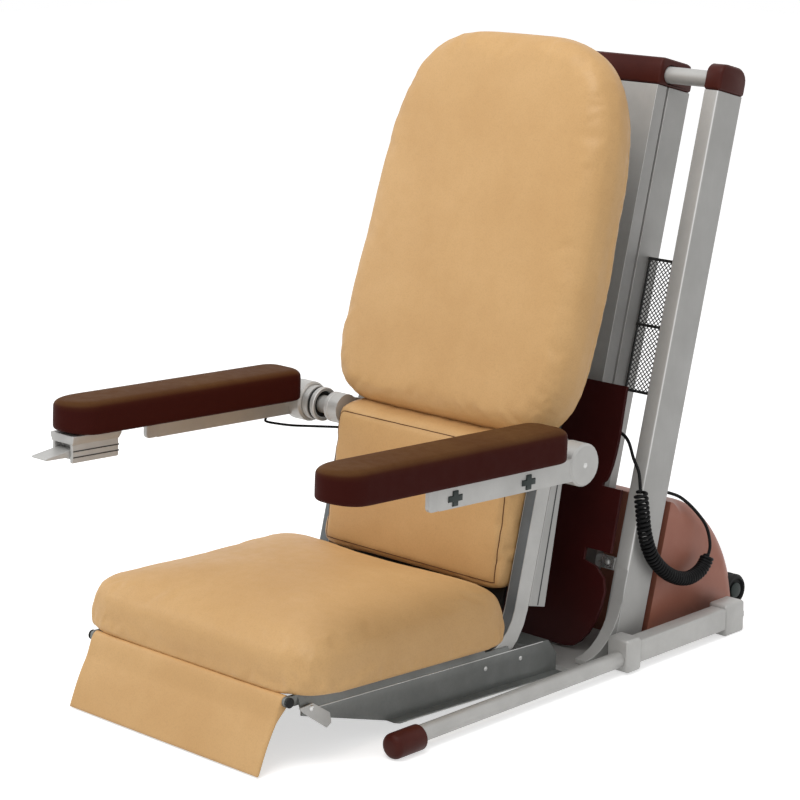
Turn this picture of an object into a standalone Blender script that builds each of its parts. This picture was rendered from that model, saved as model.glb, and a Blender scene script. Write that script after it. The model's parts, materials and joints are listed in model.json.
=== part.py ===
# Lift floor chair: a seat on a carriage that climbs a leaning mast on a railed floor base.
# Metres, +Z up, the sitter faces -Y and the sitter's left is +X.
# The chair frame has Y = 0 at the seat's front edge, and a root empty centres the finished part.
import math

import bmesh
import bpy
from mathutils import Matrix, Vector

# Clearances
GAP = 0.0003            # between pieces that touch
PIN_CLEARANCE = 0.0003  # round a pin or a shaft
CUT_OVER = 0.030        # how far a cutter reaches past what it cuts

# Lean of the mast and columns, and the travel of the carriage along it
LEAN = math.radians(15.0)
FLOOR_Z = 0.002         # the heights below are measured from this much under the floor
MAST_FOOT_Y = 0.6316    # where the mast's front plane meets the floor

# Side rails
RAIL_X = 0.280
TUBE_RADIUS = 0.0125
TUBE_Z = 0.0245
FOOT_FRONT_Y = 0.114
FOOT_LENGTH = 0.058
FOOT_RADIUS = 0.0190
FOOT_FLAT = 0.0010        # how much of the round cap is cut away where it rests
SOCKET_FRONT_Y = 0.608
SOCKET_LENGTH = 0.034
SOCKET_Z = 0.005
SOCKET_WIDTH = 0.040
SOCKET_HEIGHT = 0.052
REAR_BAR_WIDTH = 0.030
REAR_BAR_HEIGHT = 0.035
REAR_BAR_Z = 0.014
REAR_CAP_FRONT_Y = 0.857
REAR_CAP_LENGTH = 0.048
REAR_CAP_WIDTH = 0.036
REAR_CAP_HEIGHT = 0.051

# Floor plate
PLATE_BOTTOM_Z = 0.0057
PLATE_THICKNESS = 0.008
PLATE_FRONT_Y = 0.548

# Mast section and length
MAST_HALF_WIDTH = 0.130
MAST_DEPTH = 0.083
MAST_WALL = 0.003
MAST_TOP = 0.888        # along the lean, also for the columns
GROOVE_START = 0.025
GROOVE_WIDTH = 0.005
GROOVE_DEPTH = 0.012
SLOT_HALF_WIDTH = 0.014
MAST_CAP_HEIGHT = 0.037
CAP_OVERHANG = 0.0015

# Columns
COLUMN_INNER_X = 0.218
COLUMN_WIDTH = 0.028
COLUMN_DEPTH = 0.064
COLUMN_WALL = 0.003
COLUMN_CAP_HEIGHT = 0.042
LUG_REACH = 0.044
LUG_HEIGHT = 0.020
LUG_THICKNESS = 0.008
LUG_RISE = 0.152
LUG_HOLE_RADIUS = 0.004
GUSSET_WIDTH = 0.0215
GUSSET_HEIGHT = 0.130
GUSSET_REACH = 0.062
GUSSET_TOE = 0.008

# Bar through the top
BAR_RADIUS = 0.013
BAR_DEPTH = 0.024

# Mesh screens
SCREEN_DEPTH = 0.058
SCREEN_SHEET = 0.0015
SCREEN_BOTTOM = 0.414
SCREEN_HEIGHT = 0.212
SCREEN_BAR = 0.008
SCREEN_BAR_DEPTH = 0.006
SCREEN_COLUMNS = 4
SCREEN_ROWS = 5         # in each of the two fields
SCREEN_WIRE = 0.0022

# Motor cover
COVER_HALF_WIDTH = 0.240
COVER_TOP_Z = 0.228
COVER_REAR_Y = 0.961
COVER_CURVE = 1.85       # exponent of the rounded back, 2 is an ellipse
COVER_WALL = 0.003
COVER_EDGE = 0.010

# Gear motor
GEARBOX_HALF_WIDTH = 0.035
GEARBOX_FRONT = 0.012
GEARBOX_REAR = 0.125
GEARBOX_TOP = 0.100
MOTOR_RADIUS = 0.038
MOTOR_LENGTH = 0.220
MOTOR_DEPTH = 0.155
MOTOR_RISE = 0.100

# Lead screw, its nut and its upper bearing
SCREW_DEPTH = 0.042
SCREW_RADIUS = 0.010
JOURNAL_RADIUS = 0.008
JOURNAL_SEAT = 0.028
BEARING_HALF_WIDTH = 0.050
BEARING_HEIGHT = 0.026
BEARING_TOP = 0.884
NUT_HALF_WIDTH = 0.032
NUT_FRONT = 0.020
NUT_REAR = 0.064
NUT_RISE = 0.300
NUT_HEIGHT = 0.060
NUT_NECK_CLEARANCE = 0.002

# Transport wheels
WHEEL_RADIUS = 0.026
WHEEL_WIDTH = 0.026
WHEEL_X = 0.2185
WHEEL_SET_IN = 0.0215    # how far the wheel sinks into the cover's rear
WHEEL_PLATE_GAP = 0.0008
WHEEL_POCKET = 0.0025
AXLE_RADIUS = 0.005
EAR_THICKNESS = 0.006
EAR_SIDE_GAP = 0.0005
EAR_REACH = 0.012
EAR_LENGTH = 0.030

# Carriage round the mast
CARRIAGE_BOTTOM = 0.085
CARRIAGE_HEIGHT = 0.310
CARRIAGE_WALL = 0.008
CARRIAGE_FRONT_GAP = 0.004
CARRIAGE_SIDE_GAP = 0.004
CARRIAGE_WRAP = 0.050
GLIDE_LENGTH = 0.280
GLIDE_SIDE_GAP = 0.001

# Shield plate behind the seat, half widths and rises of its steps
SHIELD_THICKNESS = 0.006
SHIELD_BOTTOM = 0.0135
SHIELD_TOP = 0.423
SHIELD_TOP_HALF = 0.192
SHIELD_TAPER_RISE = 0.340
SHIELD_TAPER_HALF = 0.181
SHIELD_TAPER_END = 0.272
SHIELD_STEP_HALF = 0.218
SHIELD_STEP_TOP = 0.267
SHIELD_STEP_BOTTOM = 0.169
SHIELD_NOTCH_HALF = 0.171
SHIELD_NOTCH_BOTTOM = 0.150
SHIELD_FOOT_HALF = 0.222
SHIELD_FOOT_RISE = 0.110
SHIELD_FLOOR_HALF = 0.165

# Carriage arms
ARM_PLATE_X = 0.070
ARM_PLATE_THICKNESS = 0.010
ARM_PLATE_BOTTOM = 0.110
ARM_PLATE_BACK_RISE = 0.385
ARM_PLATE_BACK_STEP = 0.050
ARM_PLATE_CUSHION_GAP = 0.008
SHIELD_SLOT_CLEARANCE = 0.002

# Side frames and back posts
FRAME_INNER_X = 0.189
FRAME_WIDTH = 0.020
FRAME_FRONT = -0.205
FRAME_BAND = 0.029
FRAME_TOP = 0.326
FRAME_BEND = 0.090
FRAME_RUN_END_Y = 0.120
FRAME_RUN_DROP = 0.020
EYE_RADIUS = 0.024
POST_INNER_X = 0.187
POST_WIDTH = 0.023
POST_DEPTH = 0.037
POST_TOP_DEPTH = 0.020
POST_WALL = 0.003
POST_BOTTOM = 0.080
POST_TOP = 0.334

# Plate behind the lumbar pad, and the pad
BACK_PLATE_THICKNESS = 0.006
BACK_PLATE_SETBACK = 0.015
BACK_PLATE_BOTTOM = 0.125
BACK_PLATE_TOP = 0.305
LUMBAR_HALF_WIDTH = 0.188
LUMBAR_BOTTOM = 0.075
LUMBAR_TOP = 0.318
LUMBAR_THICKNESS = 0.0455
LUMBAR_EDGE = 0.008
LUMBAR_CROWN = 0.006
LUMBAR_WEDGE = 0.18     # how much thicker it is at the top, as a share

# Upholstery
SLAB_SHOULDER = 0.070   # width of the rounded margin of a crowned face

# Seat
SEAT_TILT = math.radians(2.6)
SEAT_FRONT_Z = 0.109
SEAT_AHEAD = 0.6316     # from the mast's foot forward to the seat's front edge
SEAT_HALF_WIDTH = 0.243
SEAT_FRONT_Y = -0.012
SEAT_REAR_AHEAD = 0.2046 # from the mast's foot forward to the seat's rear edge
SEAT_SIDE = 0.063
SEAT_CROWN = 0.035
SEAT_EDGE = 0.011
SEAT_POWER = 8.0

# Seat pan
PAN_SHEET = 0.003
PAN_FRONT_Y = 0.012
PAN_REAR_AHEAD = 0.0866  # from the mast's foot forward to the pan's rear end
PAN_TOP_HALF = 0.203
PAN_WALL_X = 0.214
PAN_SHOULDER = 0.024
PAN_WALL = 0.053
PAN_FLANGE = 0.016
PAN_NOSE_LENGTH = 0.190
PAN_NOSE_OVER = 0.050    # the nose's cut starts this far ahead of the pan
PAN_NOSE_HEIGHT = 0.018  # of sheet left there
PAN_SLOT_CLEARANCE = 0.002
PAN_STEP = 0.010         # behind the seat, where the top drops to the shoulder
PAN_DECK = 0.088         # length of the lower deck behind the step
PAN_TAIL_DROP = 0.025    # the walls' rear ends slope down by this from the deck's end

# Leg flap and its rod
FLAP_HALF_WIDTH = 0.200
FLAP_LENGTH = 0.1087
FLAP_THICKNESS = 0.005
FLAP_LEAN = math.radians(29.0)
FLAP_BOW = 0.004
ROD_RADIUS = 0.004
ROD_Y = -0.006
ROD_DROP = 0.010
KNUCKLE_RADIUS = 0.0075
FLAP_EAR_THICKNESS = 0.005
FLAP_EAR_REACH = 0.040

# Back cushion and the board behind it
BACK_TILT = math.radians(18.0)
BACK_AHEAD = 0.0606
BACK_Z = 0.3505
BACK_HEIGHT = 0.594
BACK_THICKNESS = 0.0885
BACK_HALF_WIDTH = 0.2305
BACK_TOP_HALF_WIDTH = 0.211
BACK_TOP_POWER = 3.5
BACK_FOOT_POWER = 6.0
BACK_EDGE = 0.011
BACK_CROWN = 0.010
BOARD_HALF_WIDTH = 0.165
BOARD_THICKNESS = 0.010
BOARD_BOTTOM = 0.030
BOARD_TOP = 0.510
BOARD_SEAT_LOW = 0.100
BOARD_SEAT_HIGH = 0.250

# Armrests
HINGE_AHEAD = 0.1316
HINGE_Z = 0.352
ARM_TILT = math.radians(2.7)
HINGE_FLANGE_RADIUS = 0.024
HINGE_FLANGE = 0.008
HINGE_NECK_RADIUS = 0.014
HINGE_NECK = 0.020
HINGE_BARREL_RADIUS = 0.027
HINGE_BARREL = 0.026
HINGE_PIN_RADIUS = 0.008
HINGE_PIN = 0.026
DISC_RADIUS = 0.032
DISC_WIDTH = 0.036
BAR_X = 0.293            # an angle: an upright plate with a flange inwards below the pad
BAR_WIDTH = 0.008
BAR_FLANGE = 0.030
BAR_FLANGE_THICKNESS = 0.003
BAR_CORNER = 0.006       # rounds the plate's lower front corner
BAR_REACH = 0.310
BAR_BOTTOM = -0.021
PAD_X = 0.274
PAD_WIDTH = 0.080
PAD_FRONT = -0.509
PAD_REAR = -0.040
PAD_BOTTOM = 0.013
PAD_THICKNESS = 0.051
PAD_REAR_CHAMFER = 0.020
PAD_EDGE = 0.006
PAD_DOME = 0.020
PAD_NOSE = 0.050

# Switch under the sitter's right pad
SWITCH_X = -0.277
SWITCH_WIDTH = 0.046
SWITCH_FRONT = -0.498
SWITCH_REAR = -0.410
SWITCH_HEIGHT = 0.041
SWITCH_NOTCH = 0.014
PADDLE_WIDTH = 0.034
PADDLE_PIVOT_DROP = 0.027
PADDLE_BOSS_RADIUS = 0.006
PADDLE_REACH = 0.050
PADDLE_TIP = 0.003

# Cords
CORD_RADIUS = 0.0025
CORD_STUB = 0.008       # straight length at each end
CURL_RADIUS = 0.0062
CURL_COUNT = 25
CURL_POINTS = 8
CARRIAGE_GLAND_DEPTH = 0.010
CARRIAGE_GLAND_DROP = 0.043   # below the carriage plate's top
COLUMN_GLAND_RISE = 0.272
GLAND_RADIUS = 0.007
GLAND_LENGTH = 0.010
CABLE_RADIUS = 0.002
CABLE_BACK = 0.075      # how far ahead of the hinge the cable leaves the arm bar
CABLE_RUN = 0.088
CABLE_DROP = 0.018

# Derived places
BAR_RISE = MAST_TOP + MAST_CAP_HEIGHT / 2
PLATE_TOP_Z = PLATE_BOTTOM_Z + PLATE_THICKNESS
STAND_Z = PLATE_TOP_Z + GAP
SEAT_Y = MAST_FOOT_Y - SEAT_AHEAD
SEAT_REAR_Y = SEAT_AHEAD - SEAT_REAR_AHEAD
PAN_REAR_Y = SEAT_AHEAD - PAN_REAR_AHEAD
BACK_Y = MAST_FOOT_Y - BACK_AHEAD
CURL_FIRST = (0.259, MAST_FOOT_Y + 0.0474, 0.272)
CURL_LAST = (0.262, MAST_FOOT_Y + 0.2164, 0.133)
HINGE_Y = MAST_FOOT_Y - HINGE_AHEAD
COVER_UNDER_Z = STAND_Z - 0.005   # the cover is drawn to here, then cut level with the other feet
SOCKET_INNER_X = RAIL_X - SOCKET_WIDTH / 2 - 0.002
SOCKET_REAR_Y = SOCKET_FRONT_Y + SOCKET_LENGTH
COLUMN_OUTER_X = COLUMN_INNER_X + COLUMN_WIDTH
WHEEL_Y = COVER_REAR_Y + WHEEL_RADIUS - WHEEL_SET_IN
WHEEL_Z = PLATE_TOP_Z + WHEEL_PLATE_GAP + WHEEL_RADIUS
CARRIAGE_FRONT = -CARRIAGE_FRONT_GAP - CARRIAGE_WALL
CARRIAGE_GLAND_RISE = CARRIAGE_BOTTOM + CARRIAGE_HEIGHT - CARRIAGE_GLAND_DROP
CARRIAGE_INNER_X = MAST_HALF_WIDTH + CARRIAGE_SIDE_GAP
CARRIAGE_OUTER_X = CARRIAGE_INNER_X + CARRIAGE_WALL
SHIELD_REAR = CARRIAGE_FRONT - GAP
SHIELD_FRONT = SHIELD_REAR - SHIELD_THICKNESS
FRAME_OUTER_X = FRAME_INNER_X + FRAME_WIDTH
FRAME_REAR = FRAME_FRONT + FRAME_BAND
POST_FRONT = FRAME_REAR + GAP
BACK_PLATE_FRONT = FRAME_FRONT + BACK_PLATE_SETBACK
BACK_PLATE_REAR = BACK_PLATE_FRONT + BACK_PLATE_THICKNESS
HINGE_X = FRAME_OUTER_X + GAP
SLOT_END_Y = SEAT_REAR_Y + 0.052    # behind the side frame where it passes through the pan
BARREL_END_X = HINGE_X + HINGE_FLANGE + HINGE_NECK + HINGE_BARREL
DISC_START_X = BARREL_END_X + GAP
SIDES = (("left", 1), ("right", -1))

for old in list(bpy.data.objects):
    bpy.data.objects.remove(old, do_unlink=True)
scene = bpy.context.scene
parts = bpy.data.collections.new("lift_floor_chair")
cutters = bpy.data.collections.new("cutters")
scene.collection.children.link(parts)
scene.collection.children.link(cutters)


# Places and frames
def mast_point(depth, rise):
    """Chair Y and Z of a point at a depth behind the mast's front plane and a rise along its lean."""
    y = MAST_FOOT_Y + rise * math.sin(LEAN) + depth * math.cos(LEAN)
    z = rise * math.cos(LEAN) - depth * math.sin(LEAN)
    return y, z


def mast_place(y, z):
    """Depth and rise in the mast's frame of a chair Y and Z."""
    ahead = y - MAST_FOOT_Y
    depth = ahead * math.cos(LEAN) - z * math.sin(LEAN)
    rise = ahead * math.sin(LEAN) + z * math.cos(LEAN)
    return depth, rise


def back_point(depth, rise):
    """Chair Y and Z of a point in the back cushion's leaning frame."""
    y = BACK_Y + rise * math.sin(BACK_TILT) + depth * math.cos(BACK_TILT)
    z = BACK_Z + rise * math.cos(BACK_TILT) - depth * math.sin(BACK_TILT)
    return y, z


def seat_point(along, up):
    """Chair Y and Z of a point in the seat's tilted frame."""
    y = SEAT_Y + along * math.cos(SEAT_TILT) + up * math.sin(SEAT_TILT)
    z = SEAT_FRONT_Z - along * math.sin(SEAT_TILT) + up * math.cos(SEAT_TILT)
    return y, z


def empty(name, location, parent, tilt=0.0):
    """A named reference frame, tilted about X."""
    frame = bpy.data.objects.new(name, None)
    frame.location = location
    frame.rotation_euler = (tilt, 0.0, 0.0)
    frame.parent = parent
    scene.collection.objects.link(frame)
    return frame


# Outline pieces
def arc(centre, radius, start, end, count):
    """Points on an arc, from the start angle to the end angle in degrees."""
    points = []
    for step in range(count + 1):
        angle = math.radians(start + (end - start) * step / count)
        points.append((centre[0] + radius * math.cos(angle), centre[1] + radius * math.sin(angle)))
    return points


def rounded(low, high, radius, count=3):
    """A rectangle's outline with round corners."""
    points = []
    right, left = high[0] - radius, low[0] + radius
    top, bottom = high[1] - radius, low[1] + radius
    for centre, start in (((right, top), 0), ((left, top), 90), ((left, bottom), 180), ((right, bottom), 270)):
        points += arc(centre, radius, start, start + 90, count)
    return points


def ring(centre, radius, count=24):
    """A full circle's outline."""
    return arc(centre, radius, 0, 360 - 360 / count, count - 1)


def filleted(path, radius, count=6):
    """A bent path with its inner corners rounded to a radius."""
    points = [Vector(path[0])]
    for before, corner, after in zip(path, path[1:], path[2:]):
        corner = Vector(corner)
        into = (Vector(before) - corner).normalized()
        out = (Vector(after) - corner).normalized()
        half = into.angle(out) / 2
        reach = radius / math.tan(half)
        centre = corner + (into + out).normalized() * (radius / math.sin(half))
        first = corner + into * reach - centre
        turn = first.angle_signed(corner + out * reach - centre)
        for step in range(count + 1):
            points.append(centre + Matrix.Rotation(-turn * step / count, 2) @ first)
    points.append(Vector(path[-1]))
    return points


def band(path, width):
    """The outline of a strip of even width along a path."""
    left = []
    right = []
    for index, point in enumerate(path):
        before = path[max(index - 1, 0)]
        after = path[min(index + 1, len(path) - 1)]
        along = (after - before).normalized()
        across = Vector((-along.y, along.x)) * (width / 2)
        left.append(tuple(point + across))
        right.append(tuple(point - across))
    return left + right[::-1]


# Solids
def solid(name, bm):
    """An object from a finished bmesh."""
    mesh = bpy.data.meshes.new(name)
    bm.to_mesh(mesh)
    bm.free()
    made = bpy.data.objects.new(name, mesh)
    parts.objects.link(made)
    return made


def outline_solid(name, outlines, low, high):
    """A flat outline in XY, with any holes, raised from one Z to another."""
    curve = bpy.data.curves.new(name, "CURVE")
    curve.dimensions = "2D"
    curve.fill_mode = "BOTH"
    curve.extrude = (high - low) / 2
    for points in outlines:
        spline = curve.splines.new("POLY")
        spline.points.add(len(points) - 1)
        for place, (u, v) in zip(spline.points, points):
            place.co = (u, v, 0.0, 1.0)
        spline.use_cyclic_u = True
    drawn = bpy.data.objects.new(name, curve)
    scene.collection.objects.link(drawn)
    graph = bpy.context.evaluated_depsgraph_get()
    mesh = bpy.data.meshes.new_from_object(drawn.evaluated_get(graph))
    bm = bmesh.new()
    bm.from_mesh(mesh)
    bpy.data.objects.remove(drawn)
    bpy.data.meshes.remove(mesh)
    bmesh.ops.remove_doubles(bm, verts=bm.verts, dist=1e-6)
    if len(outlines) == 1:
        bmesh.ops.dissolve_limit(bm, angle_limit=0.001, verts=bm.verts, edges=bm.edges)
    bm.normal_update()
    bmesh.ops.recalc_face_normals(bm, faces=bm.faces)
    bmesh.ops.translate(bm, verts=bm.verts, vec=(0.0, 0.0, (low + high) / 2))
    return solid(name, bm)


def side_solid(name, outlines, x_low, x_high):
    """A side outline in Y and Z, thick along X."""
    made = outline_solid(name, outlines, x_low, x_high)
    turn = Matrix(((0, 0, 1), (1, 0, 0), (0, 1, 0))).to_4x4()
    made.data.transform(turn)
    return made


def front_solid(name, outlines, y_low, y_high):
    """A front outline in X and Z, thick along Y."""
    made = outline_solid(name, outlines, -y_high, -y_low)
    turn = Matrix(((1, 0, 0), (0, 0, -1), (0, 1, 0))).to_4x4()
    made.data.transform(turn)
    return made


def box(name, low, high):
    """A block between two corners."""
    bm = bmesh.new()
    bmesh.ops.create_cube(bm, size=1.0)
    size = Vector(high) - Vector(low)
    bmesh.ops.scale(bm, vec=size, verts=bm.verts)
    bmesh.ops.translate(bm, vec=(Vector(high) + Vector(low)) / 2, verts=bm.verts)
    return solid(name, bm)


def rod(name, radius, x_low, x_high, y=0.0, z=0.0, segments=24):
    """A round bar along X."""
    bm = bmesh.new()
    bmesh.ops.create_cone(
        bm, cap_ends=True, segments=segments, radius1=radius, radius2=radius, depth=x_high - x_low
    )
    bmesh.ops.rotate(bm, verts=bm.verts, matrix=Matrix.Rotation(math.pi / 2, 3, "Y"))
    bmesh.ops.translate(bm, verts=bm.verts, vec=((x_low + x_high) / 2, y, z))
    return solid(name, bm)


def turned(name, profile, segments=24):
    """A profile of radius and height, listed from the top down, turned about Z."""
    bm = bmesh.new()
    verts = [bm.verts.new((radius, 0.0, height)) for radius, height in profile]
    for first, second in zip(verts, verts[1:]):
        bm.edges.new((first, second))
    made = solid(name, bm)
    screw = made.modifiers.new("turn", "SCREW")
    screw.steps = segments
    screw.render_steps = segments
    screw.use_merge_vertices = True
    screw.merge_threshold = 1e-5
    return made


def settled(made):
    """The same object with its modifiers worked into its mesh."""
    graph = bpy.context.evaluated_depsgraph_get()
    mesh = bpy.data.meshes.new_from_object(made.evaluated_get(graph))
    made.modifiers.clear()
    old = made.data
    made.data = mesh
    bpy.data.meshes.remove(old)
    return made


def ease(made, width, segments=2):
    """Rounded edges."""
    bevel = made.modifiers.new("ease", "BEVEL")
    bevel.width = width
    bevel.segments = segments
    bevel.limit_method = "ANGLE"
    bevel.angle_limit = math.radians(40)
    return made


def boolean(made, tool, operation):
    """Cut by, or joined to, a tool that is then kept out of sight."""
    step = made.modifiers.new(operation.lower(), "BOOLEAN")
    step.operation = operation
    step.object = tool
    if tool.name in parts.objects:
        parts.objects.unlink(tool)
        cutters.objects.link(tool)
    tool.hide_render = True
    tool.display_type = "WIRE"
    return made


def cut(made, tool):
    return boolean(made, tool, "DIFFERENCE")


def join(made, tool):
    return boolean(made, tool, "UNION")


def finish(made, frame, material):
    """Placed in its frame, coloured and smooth where it is round."""
    made.parent = frame
    made.data.materials.clear()
    made.data.materials.append(material)
    made.data.shade_smooth()
    made.data.set_sharp_from_angle(angle=math.radians(35))
    return made


def paint(name, colour, roughness, metallic=0.0):
    """A plain Principled material."""
    material = bpy.data.materials.new(name)
    material.use_nodes = True
    shader = material.node_tree.nodes["Principled BSDF"]
    shader.inputs["Base Color"].default_value = (*colour, 1.0)
    shader.inputs["Roughness"].default_value = roughness
    shader.inputs["Metallic"].default_value = metallic
    return material


def mirrored(points):
    """An outline whose right half is given, from the top centre down to the bottom centre."""
    return points + [(-u, v) for u, v in reversed(points)]


LEATHER = paint("tan_leather", (0.64, 0.40, 0.17), 0.5)
PAD_BROWN = paint("brown_pad", (0.09, 0.035, 0.02), 0.5)
SHIELD_BROWN = paint("dark_shield", (0.06, 0.012, 0.012), 0.4)
CAP_BROWN = paint("brown_cap", (0.11, 0.03, 0.025), 0.4)
COVER_BROWN = paint("red_brown_cover", (0.30, 0.12, 0.085), 0.4)
ALUMINIUM = paint("silver_aluminium", (0.45, 0.45, 0.43), 0.4, 0.8)
GREY_PAINT = paint("silver_paint", (0.36, 0.36, 0.34), 0.45, 0.4)
PAN_GREY = paint("dark_grey_paint", (0.12, 0.13, 0.12), 0.5, 0.3)
STEEL = paint("steel", (0.5, 0.5, 0.5), 0.3, 1.0)
MESH_DARK = paint("dark_mesh", (0.05, 0.05, 0.05), 0.5, 0.5)
RUBBER = paint("black_rubber", (0.01, 0.01, 0.01), 0.7)
BLACK_PLASTIC = paint("black_plastic", (0.015, 0.015, 0.015), 0.5)
GLIDE_PLASTIC = paint("glide_plastic", (0.5, 0.5, 0.48), 0.6)


# Leg flap outline, which sets how far forward the chair reaches
def flap_path():
    """The flap's middle line from its rod down to its lower edge, bowed a little."""
    rod_y, rod_z = seat_point(ROD_Y, -ROD_DROP)
    along = Vector((-math.sin(FLAP_LEAN), -math.cos(FLAP_LEAN)))
    across = Vector((along.y, -along.x))
    path = []
    for step in range(9):
        share = step / 8
        bow = FLAP_BOW * math.sin(math.pi * share)
        path.append(Vector((rod_y, rod_z)) + along * (FLAP_LENGTH * share) + across * bow)
    return path


def flap_outline():
    return band(flap_path(), FLAP_THICKNESS)


FRONT_Y = min(y for y, _ in flap_outline())
REAR_Y = WHEEL_Y + WHEEL_RADIUS
root = empty("chair_origin", (0.0, -(FRONT_Y + REAR_Y) / 2, -FLOOR_Z), None)
mast_frame = empty("mast_frame", (0.0, MAST_FOOT_Y, 0.0), root, -LEAN)
lift_frame = empty("lift_frame", (0.0, MAST_FOOT_Y, 0.0), root, -LEAN)
seat_frame = empty("seat_frame", (0.0, SEAT_Y, SEAT_FRONT_Z), root, -SEAT_TILT)
back_frame = empty("back_frame", (0.0, BACK_Y, BACK_Z), root, -BACK_TILT)


# Floor cutter: whatever stands on the floor plate is cut level just above it
def stand_cutter(name):
    tool = box(name, (-1.0, -1.0, -1.0), (1.0, 1.0, STAND_Z))
    tool.parent = root
    return tool


stand_tool = stand_cutter("stand_cutter")


# Side rails
def make_rails():
    for side, sign in SIDES:
        x_low = sign * RAIL_X - FOOT_RADIUS
        foot = rod("rail_cap_" + side, FOOT_RADIUS, 0.0, FOOT_LENGTH, segments=20)
        foot.data.transform(Matrix.Rotation(math.pi / 2, 4, "Z"))
        foot.data.transform(Matrix.Translation((sign * RAIL_X, FOOT_FRONT_Y, FLOOR_Z + FOOT_RADIUS - FOOT_FLAT)))
        ease(foot, FOOT_RADIUS * 0.3, 2)
        floor = box("floor_cutter_" + side, (x_low - 0.1, -0.1, -0.1), (x_low + 0.2, 0.4, FLOOR_Z))
        floor.parent = root
        cut(foot, floor)
        finish(foot, root, CAP_BROWN)

        tube = rod("rail_tube_" + side, TUBE_RADIUS, FOOT_FRONT_Y + FOOT_LENGTH + GAP, SOCKET_FRONT_Y - GAP)
        tube.data.transform(Matrix.Rotation(math.pi / 2, 4, "Z"))
        tube.data.transform(Matrix.Translation((sign * RAIL_X, 0.0, TUBE_Z)))
        finish(tube, root, GREY_PAINT)

        inner = sign * SOCKET_INNER_X
        outer = sign * (SOCKET_INNER_X + SOCKET_WIDTH)
        low_x, high_x = sorted((inner, outer))
        block = rounded((SOCKET_FRONT_Y, SOCKET_Z), (SOCKET_REAR_Y, SOCKET_Z + SOCKET_HEIGHT), 0.006)
        socket = side_solid("rail_socket_" + side, [block], low_x, high_x)
        finish(ease(socket, 0.003), root, GREY_PAINT)

        low_x, high_x = sorted((sign * (RAIL_X - REAR_BAR_WIDTH / 2), sign * (RAIL_X + REAR_BAR_WIDTH / 2)))
        bar = box(
            "rear_bar_" + side,
            (low_x, SOCKET_REAR_Y + GAP, REAR_BAR_Z),
            (high_x, REAR_CAP_FRONT_Y - GAP, REAR_BAR_Z + REAR_BAR_HEIGHT),
        )
        finish(ease(bar, 0.003), root, GREY_PAINT)

        low_x, high_x = sorted((sign * SOCKET_INNER_X, sign * (SOCKET_INNER_X + REAR_CAP_WIDTH)))
        cap = box(
            "rear_cap_" + side,
            (low_x, REAR_CAP_FRONT_Y, FLOOR_Z),
            (high_x, REAR_CAP_FRONT_Y + REAR_CAP_LENGTH, FLOOR_Z + REAR_CAP_HEIGHT),
        )
        finish(ease(cap, 0.004), root, GREY_PAINT)


# Floor plate with the ears that hold the wheel axle
def make_floor_plate():
    half = SOCKET_INNER_X - GAP
    outline = rounded((-half, PLATE_FRONT_Y), (half, COVER_REAR_Y), 0.012)
    plate = outline_solid("base_plate", [outline], PLATE_BOTTOM_Z, PLATE_TOP_Z)
    ear_low = WHEEL_Y - EAR_LENGTH / 2
    ear_top = WHEEL_Z + EAR_REACH
    for side, sign in SIDES:
        near = sign * (WHEEL_X - WHEEL_WIDTH / 2 - EAR_SIDE_GAP)
        low_x, high_x = sorted((near, near - sign * EAR_THICKNESS))
        ear_outline = rounded((ear_low, PLATE_BOTTOM_Z + 0.001), (ear_low + EAR_LENGTH, ear_top), 0.006)
        hole = ring((WHEEL_Y, WHEEL_Z), AXLE_RADIUS + PIN_CLEARANCE, 16)
        ear = side_solid("axle_ear_" + side, [ear_outline, hole], low_x, high_x)
        ear.parent = root
        join(plate, ear)
    finish(plate, root, GREY_PAINT)


def make_wheels():
    for side, sign in SIDES:
        frame = empty("wheel_frame_" + side, (sign * WHEEL_X, WHEEL_Y, WHEEL_Z), root)
        hole = ring((0.0, 0.0), AXLE_RADIUS + PIN_CLEARANCE, 16)
        tyre = side_solid(
            "wheel_" + side, [ring((0.0, 0.0), WHEEL_RADIUS, 24), hole], -WHEEL_WIDTH / 2, WHEEL_WIDTH / 2
        )
        finish(ease(tyre, 0.003, 1), frame, RUBBER)
    reach = WHEEL_X + WHEEL_WIDTH / 2 + EAR_SIDE_GAP
    axle = rod("wheel_axle", AXLE_RADIUS, -reach, reach, WHEEL_Y, WHEEL_Z, 16)
    finish(axle, root, STEEL)


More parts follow.
